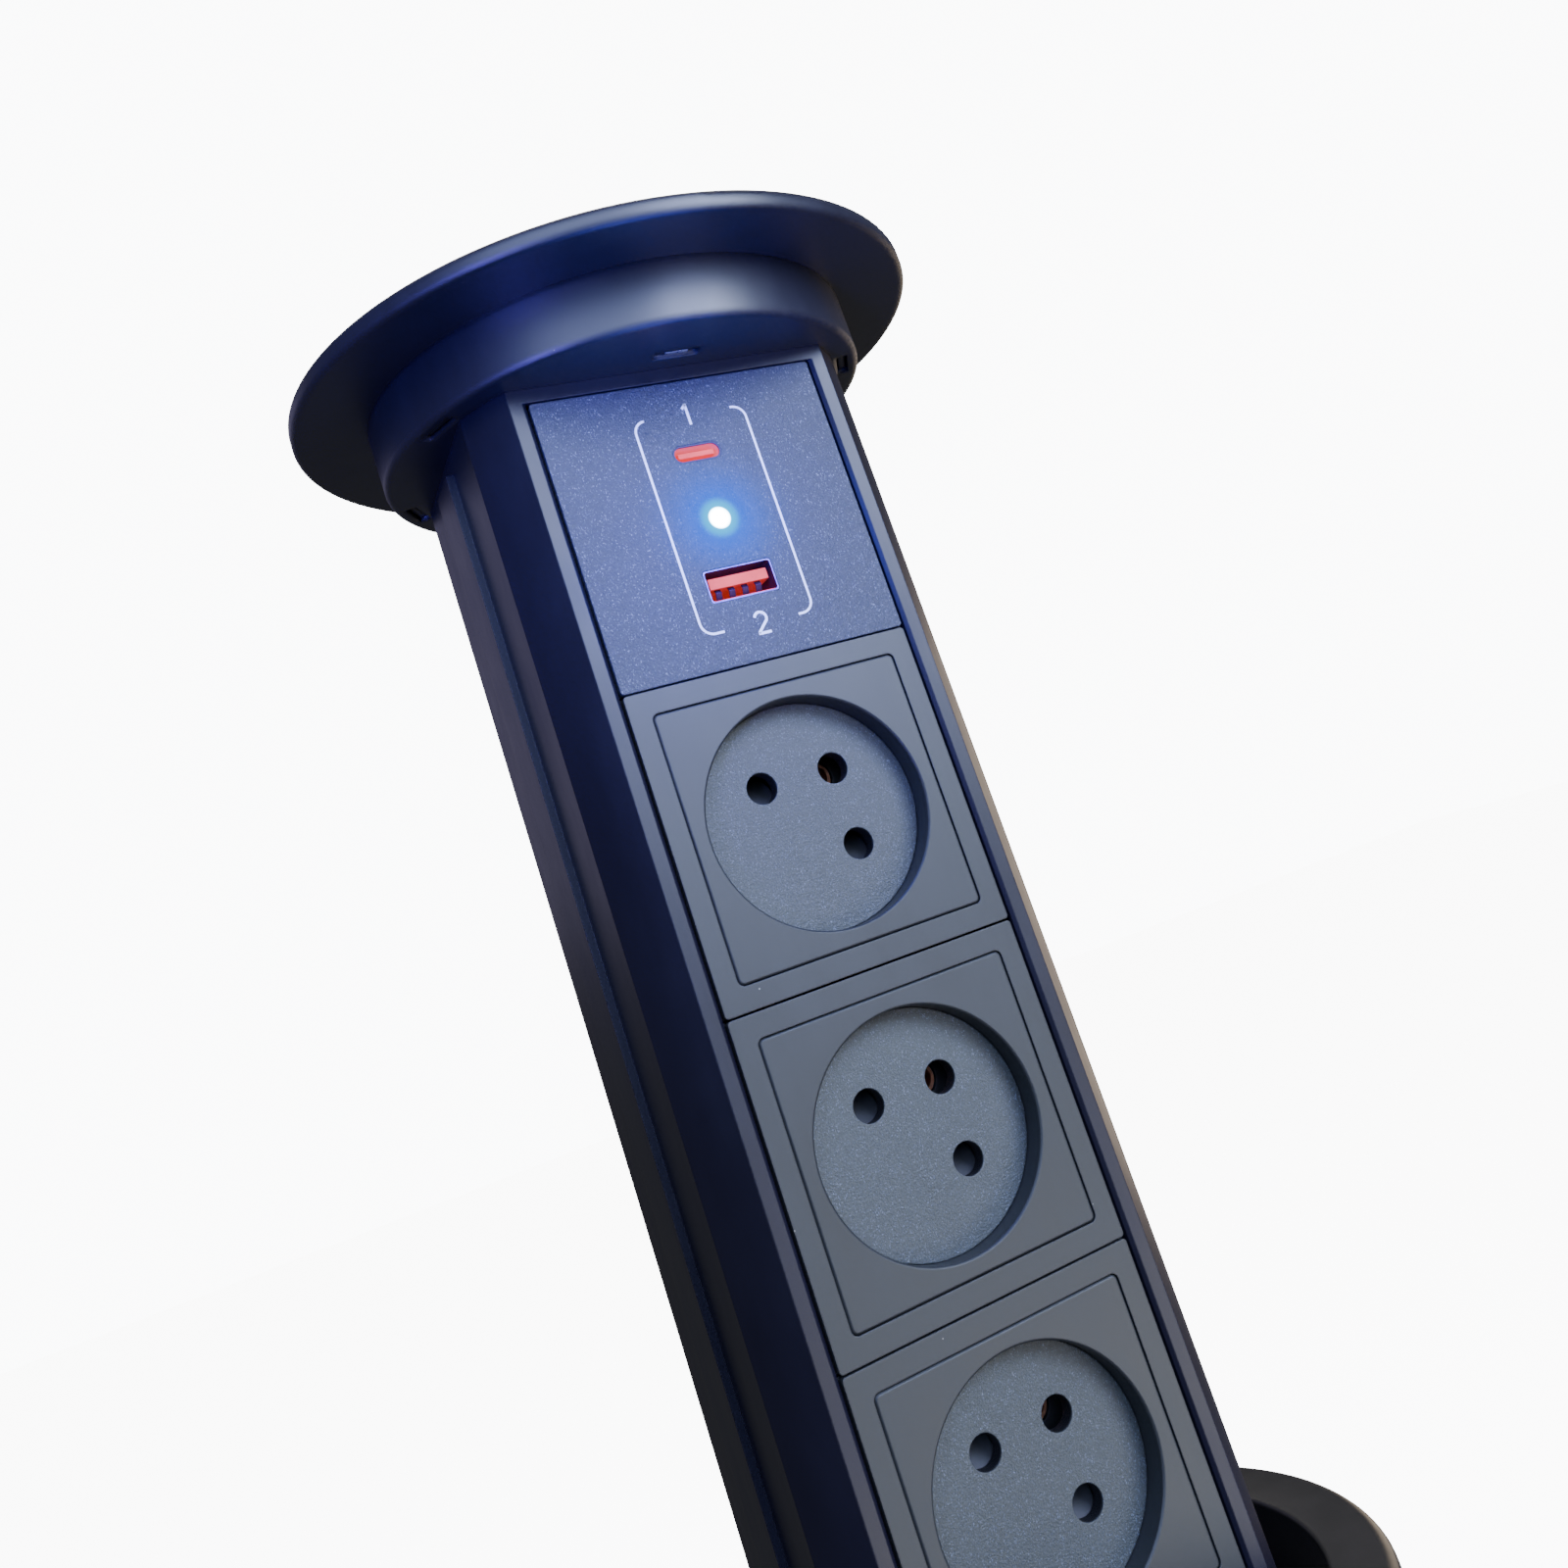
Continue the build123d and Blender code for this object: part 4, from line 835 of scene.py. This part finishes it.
class TOWER_OT_port_springs(bpy.types.Operator):
    """Bend the contact springs under the USB-A tongue"""
    bl_idname = "tower.port_springs"
    bl_label = "Port Springs"

    # The springs' sideways shift, and their gaps to the shell's floor, the tongue and the panel's front.
    SHIFT, FLOOR_GAP, ROOF_GAP, FRONT_GAP = 0.0004, 0.0004, 0.00015, 0.0011
    # A spring's line: the depth behind its front, then the height from its floor or its roof.
    LINE = ((0.0006, "roof", 0.0), (0.0003, "roof", -0.0005), (0.0009, "floor", 0.0003), (0.0016, "floor", 0.0),
            (0.0030, "floor", 0.0006), (0.0060, "roof", -0.0002), (0.0085, "roof", 0.0))
    # The insulator's wall, its gap at the sides, and its two ends behind the panel's front.
    WALL, SIDE_GAP, WALL_FRONT, WALL_BACK = 0.0002, 0.0005, 0.0006, 0.0075

    def execute(self, context):
        grip = settings("tower_grip")
        shell_low, shell_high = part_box("usb_a_shell")
        levels = {"floor": shell_low.z + self.FLOOR_GAP, "roof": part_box("usb_a_tongue")[0].z - self.ROOF_GAP}
        profile = [(FRONT_Y + self.FRONT_GAP + depth, levels[level] + rise) for depth, level, rise in self.LINE]
        leaves = [self.leaf(profile, (number - (grip.leaf_count - 1) / 2) * grip.leaf_pitch - self.SHIFT, grip)
                  for number in range(grip.leaf_count)]
        piece = mesh_piece("port_springs", leaves, finish("dark_spring"), "column")
        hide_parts("usb_a_contacts")
        self.insulator((shell_high.x - shell_low.x) / 2 - self.SIDE_GAP, **levels)
        return {"FINISHED"}

    def insulator(self, side, floor, roof):
        """The moulded floor and back wall that the springs stand in front of."""
        front, back, thick = FRONT_Y + self.WALL_FRONT, FRONT_Y + self.WALL_BACK, self.WALL
        profile = [(front, floor - thick / 2), (back, floor - thick / 2), (back, roof), (back - thick, roof),
                   (back - thick, floor + thick / 2), (front, floor + thick / 2)]
        piece = mesh_piece("port_insulator", [prism(profile, side)], finish("tongue"), "column")

    def leaf(self, profile, x, grip):
        """A strip along a profile of (y, z) points."""
        left, right = x - grip.leaf_width / 2, x + grip.leaf_width / 2
        points = []
        for (y, z), (ny, nz) in zip(profile, normals(profile)):
            y_out, z_out = y - ny * grip.leaf_thick, z - nz * grip.leaf_thick
            points += [(left, y, z), (right, y, z), (right, y_out, z_out), (left, y_out, z_out)]
        return points, swept_faces(4, len(profile) - 1)


class TOWER_OT_coil_springs(bpy.types.Operator):
    """Wind the coil springs under the socket shutters, at the length they have at rest"""
    bl_idname = "tower.coil_springs"
    bl_label = "Coil Springs"

    # The end gap counts in widths of the wire.
    STEPS_A_TURN, SIDES, END_GAP = 20, 8, 0.6

    def execute(self, context):
        coil = settings("tower_grip")
        wire = coil.wire_width
        steps = coil.coil_turns * self.STEPS_A_TURN
        for number in SOCKETS:
            low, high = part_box(f"shutter_spring_{number}")
            middle = (low + high) / 2
            reach = (high.x - low.x - wire) / 2
            rise = high.z - low.z - 2 * self.END_GAP * wire
            points = []
            for step in range(steps + 1):
                turn = 2 * math.pi * step / self.STEPS_A_TURN
                height = low.z + self.END_GAP * wire + rise * step / steps
                for side in range(self.SIDES):
                    tilt = 2 * math.pi * side / self.SIDES
                    out = reach + wire / 2 * math.cos(tilt)
                    points.append((middle.x + out * math.cos(turn), middle.y + out * math.sin(turn),
                                   height + wire / 2 * math.sin(tilt)))
            piece = mesh_piece(f"shutter_coil_{number}", [(points, swept_faces(self.SIDES, steps))],
                               finish("spring_wire"), "column", smooth=True)
            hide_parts(f"shutter_spring_{number}")
            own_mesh(piece)
        return {"FINISHED"}


class TOWER_OT_shoe_hook(bpy.types.Operator):
    """Put the bright steel shoe on the tip of the cap's front hook"""
    bl_idname = "tower.shoe_hook"
    bl_label = "Shoe Hook"

    # The flat of the shoe's tip, and the height at which its sides end, as shares of its depth and drop.
    FLAT, SIDE = 0.4, 0.6

    def execute(self, context):
        shoe = settings("tower_grip")
        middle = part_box("column_shell")[0].y - shoe.hook_inset
        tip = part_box("cap_disc")[0].z
        deep, side, low = shoe.hook_depth / 2, tip - shoe.hook_drop * self.SIDE, tip - shoe.hook_drop
        profile = [(middle - deep, tip), (middle - deep, side), (middle - deep * self.FLAT, low),
                   (middle + deep * self.FLAT, low), (middle + deep, side), (middle + deep, tip)]
        piece = mesh_piece("hook_shoe", [prism(profile, shoe.hook_width / 2)], finish("zinc"), "column")
        return {"FINISHED"}


class TOWER_OT_light_indicator(bpy.types.Operator):
    """Light the indicator and what it shines on"""
    bl_idname = "tower.light_indicator"
    bl_label = "Light Indicator"

    COLOUR = (0.05, 0.09, 1.0)
    # Name, distance before the panel, radius and share of the indicator's power.
    LAMPS = (("indicator_glow", 0.006, 0.002, 0.7), ("indicator_haze", 0.030, 0.020, 36.0))

    def execute(self, context):
        for name, reach, size, share in self.LAMPS:
            data = bpy.data.lights.new(name, "POINT")
            data.energy = settings("tower_glow").power * share
            data.color = self.COLOUR
            data.shadow_soft_size = size
            add_object(name, data).location = (LENS_CENTRE[0], FRONT_Y - reach, LENS_CENTRE[2])
        return {"FINISHED"}


# The lights, named as their power settings: place, target, size, tint and spread in degrees.
LIGHTS = {
    "key_light": ((0.73, -1.41, 0.84), (0.0, 0.0, 0.10), 1.0, (0.77, 0.87, 0.95), 180.0),
    "low_light": ((0.70, -1.30, -0.60), (0.0, 0.0, 0.02), 0.9, (0.98, 0.97, 0.97), 180.0),
    "cool_light": ((0.26, -0.60, 0.46), (0.0, 0.0, 0.22), 0.35, (0.16, 0.26, 1.0), 180.0),
    "blue_light": ((-0.35, -0.35, 0.10), (0.0, 0.0, 0.235), 0.10, (0.15, 0.12, 1.0), 24.0),
    "fill_light": ((-0.48, -1.2, 0.80), (0.0, 0.0, 0.22), 1.3, (0.48, 0.60, 1.0), 180.0),
    "side_light": ((-0.50, 1.30, 0.60), (0.0, 0.0, 0.16), 0.8, (0.66, 0.58, 1.0), 180.0),
    "back_light": ((0.35, 0.85, 1.50), (0.0, 0.0, 0.06), 0.9, (1.0, 0.92, 0.84), 180.0),
    "warm_light": ((0.9, 0.5, 0.10), (0.0, 0.0, 0.0), 0.5, (1.0, 0.80, 0.58), 180.0),
}
SKY_COLOUR = (0.97, 0.98, 1.0, 1.0)
# The camera: its lens and shift, its place and its three axes.
CAMERA_LENS, CAMERA_SENSOR, CAMERA_SHIFT = 33.66, 36.0, (-0.0243, -0.0927)
CAMERA_PLACE = (-0.09689, -0.25082, 0.12125)
CAMERA_RIGHT, CAMERA_UP, CAMERA_AHEAD = (0.8768, -0.3534, -0.3261), (0.2195, -0.3093, 0.9253), (0.4279, 0.8828, 0.1936)


class TOWER_OT_stage(bpy.types.Operator):
    """Lay the pale floor and set the lights, the surroundings and the camera"""
    bl_idname = "tower.stage"
    bl_label = "Stage"

    def execute(self, context):
        stage = settings("tower_stage")
        self.floor(stage)
        self.surroundings(stage)
        for name, (place, target, size, tint, spread) in LIGHTS.items():
            data = bpy.data.lights.new(name, "AREA")
            data.energy, data.size, data.color, data.spread = getattr(stage, name), size, tint, math.radians(spread)
            lamp = add_object(name, data)
            lamp.location = place
            lamp.rotation_euler = (Vector(target) - Vector(place)).to_track_quat("-Z", "Y").to_euler()
        self.camera()
        return {"FINISHED"}

    def floor(self, stage):
        """A floor that only the camera sees, far enough down for the column's way."""
        half = stage.floor_size / 2
        level = CAD_BOX[0][2] - stage.lift_room - stage.floor_gap
        mesh = bpy.data.meshes.new("pale_floor")
        mesh.from_pydata([(x, y, level) for x, y in ((-half, -half), (half, -half), (half, half), (-half, half))],
                         [], [(0, 1, 2, 3)])
        paper = stage.floor_colour
        shader = Shader("floor_paper", paper, 0.9, specular=0.1)
        mottle = shader.spread(shader.noise(0.02, detail=5.0), 0.3, 0.7)
        mesh.materials.append(shader.paint(
            base_color=shader.mix(mottle, shade(paper, 0.98), paper),
            emission_color=(1.0, 1.0, 1.0, 1.0), emission_strength=stage.floor_light))
        floor = add_object("pale_floor", mesh)
        floor.visible_diffuse = floor.visible_glossy = floor.visible_shadow = False

    def surroundings(self, stage):
        """Plain surroundings that the camera sees as white."""
        world = bpy.data.worlds.new("plain_surroundings")
        world.use_nodes = True
        nodes = Nodes(world.node_tree)
        seen = nodes.node("ShaderNodeLightPath").outputs["Is Camera Ray"]
        bright = nodes.node("ShaderNodeMix", {"Factor": seen, "A": stage.sky, "B": stage.backdrop}, data_type="FLOAT")
        background = nodes.tree.nodes["Background"].inputs
        nodes.fill(background["Color"], SKY_COLOUR)
        nodes.fill(background["Strength"], bright.outputs["Result"])
        bpy.context.scene.world = world

    def camera(self):
        data = bpy.data.cameras.new("photo_camera")
        data.lens, data.sensor_width, data.sensor_fit = CAMERA_LENS, CAMERA_SENSOR, "HORIZONTAL"
        data.shift_x, data.shift_y = CAMERA_SHIFT
        data.clip_start, data.clip_end = 0.01, 60.0
        data.dof.use_dof = False
        camera = add_object("photo_camera", data)
        turn = Matrix((CAMERA_RIGHT, CAMERA_UP, -Vector(CAMERA_AHEAD))).transposed().to_4x4()
        camera.matrix_world = Matrix.Translation(CAMERA_PLACE) @ turn
        bpy.context.scene.camera = camera


class TOWER_PT_panel(bpy.types.Panel):
    """Sizes, colours and steps of the socket tower"""
    bl_idname = "TOWER_PT_panel"
    bl_label = "Socket Tower"
    bl_space_type = "VIEW_3D"
    bl_region_type = "UI"
    bl_category = "Socket Tower"

    def draw(self, context):
        for name in SETTING_GROUPS:
            box = self.layout.box()
            group = getattr(context.scene, name)
            for key in group.__annotations__:
                box.prop(group, key)
        for operator in OPERATORS:
            self.layout.operator(operator.bl_idname)


SETTING_GROUPS = {
    "tower_finish": TowerFinishSettings,
    "tower_print": TowerPrintSettings,
    "tower_glow": TowerGlowSettings,
    "tower_thread": TowerThreadSettings,
    "tower_screws": TowerScrewSettings,
    "tower_grip": TowerGripSettings,
    "tower_stage": TowerStageSettings,
}
OPERATORS = [TOWER_OT_finish_mouldings, TOWER_OT_print_outline, TOWER_OT_thread_collar, TOWER_OT_cut_screws,
             TOWER_OT_grip_ribs, TOWER_OT_port_springs, TOWER_OT_coil_springs, TOWER_OT_shoe_hook,
             TOWER_OT_light_indicator, TOWER_OT_stage]


def register():
    for name, group in SETTING_GROUPS.items():
        bpy.utils.register_class(group)
        setattr(bpy.types.Scene, name, PointerProperty(type=group))
    for operator in OPERATORS:
        bpy.utils.register_class(operator)
    bpy.utils.register_class(TOWER_PT_panel)


def unregister():
    bpy.utils.unregister_class(TOWER_PT_panel)
    for operator in reversed(OPERATORS):
        bpy.utils.unregister_class(operator)
    for name, group in SETTING_GROUPS.items():
        delattr(bpy.types.Scene, name)
        bpy.utils.unregister_class(group)


def main():
    register()
    bpy.ops.tower.finish_mouldings()
    bpy.ops.tower.print_outline()
    bpy.ops.tower.thread_collar()
    bpy.ops.tower.cut_screws()
    bpy.ops.tower.grip_ribs()
    bpy.ops.tower.port_springs()
    bpy.ops.tower.coil_springs()
    bpy.ops.tower.shoe_hook()
    bpy.ops.tower.light_indicator()
    bpy.ops.tower.stage()


if __name__ == "__main__":
    main()
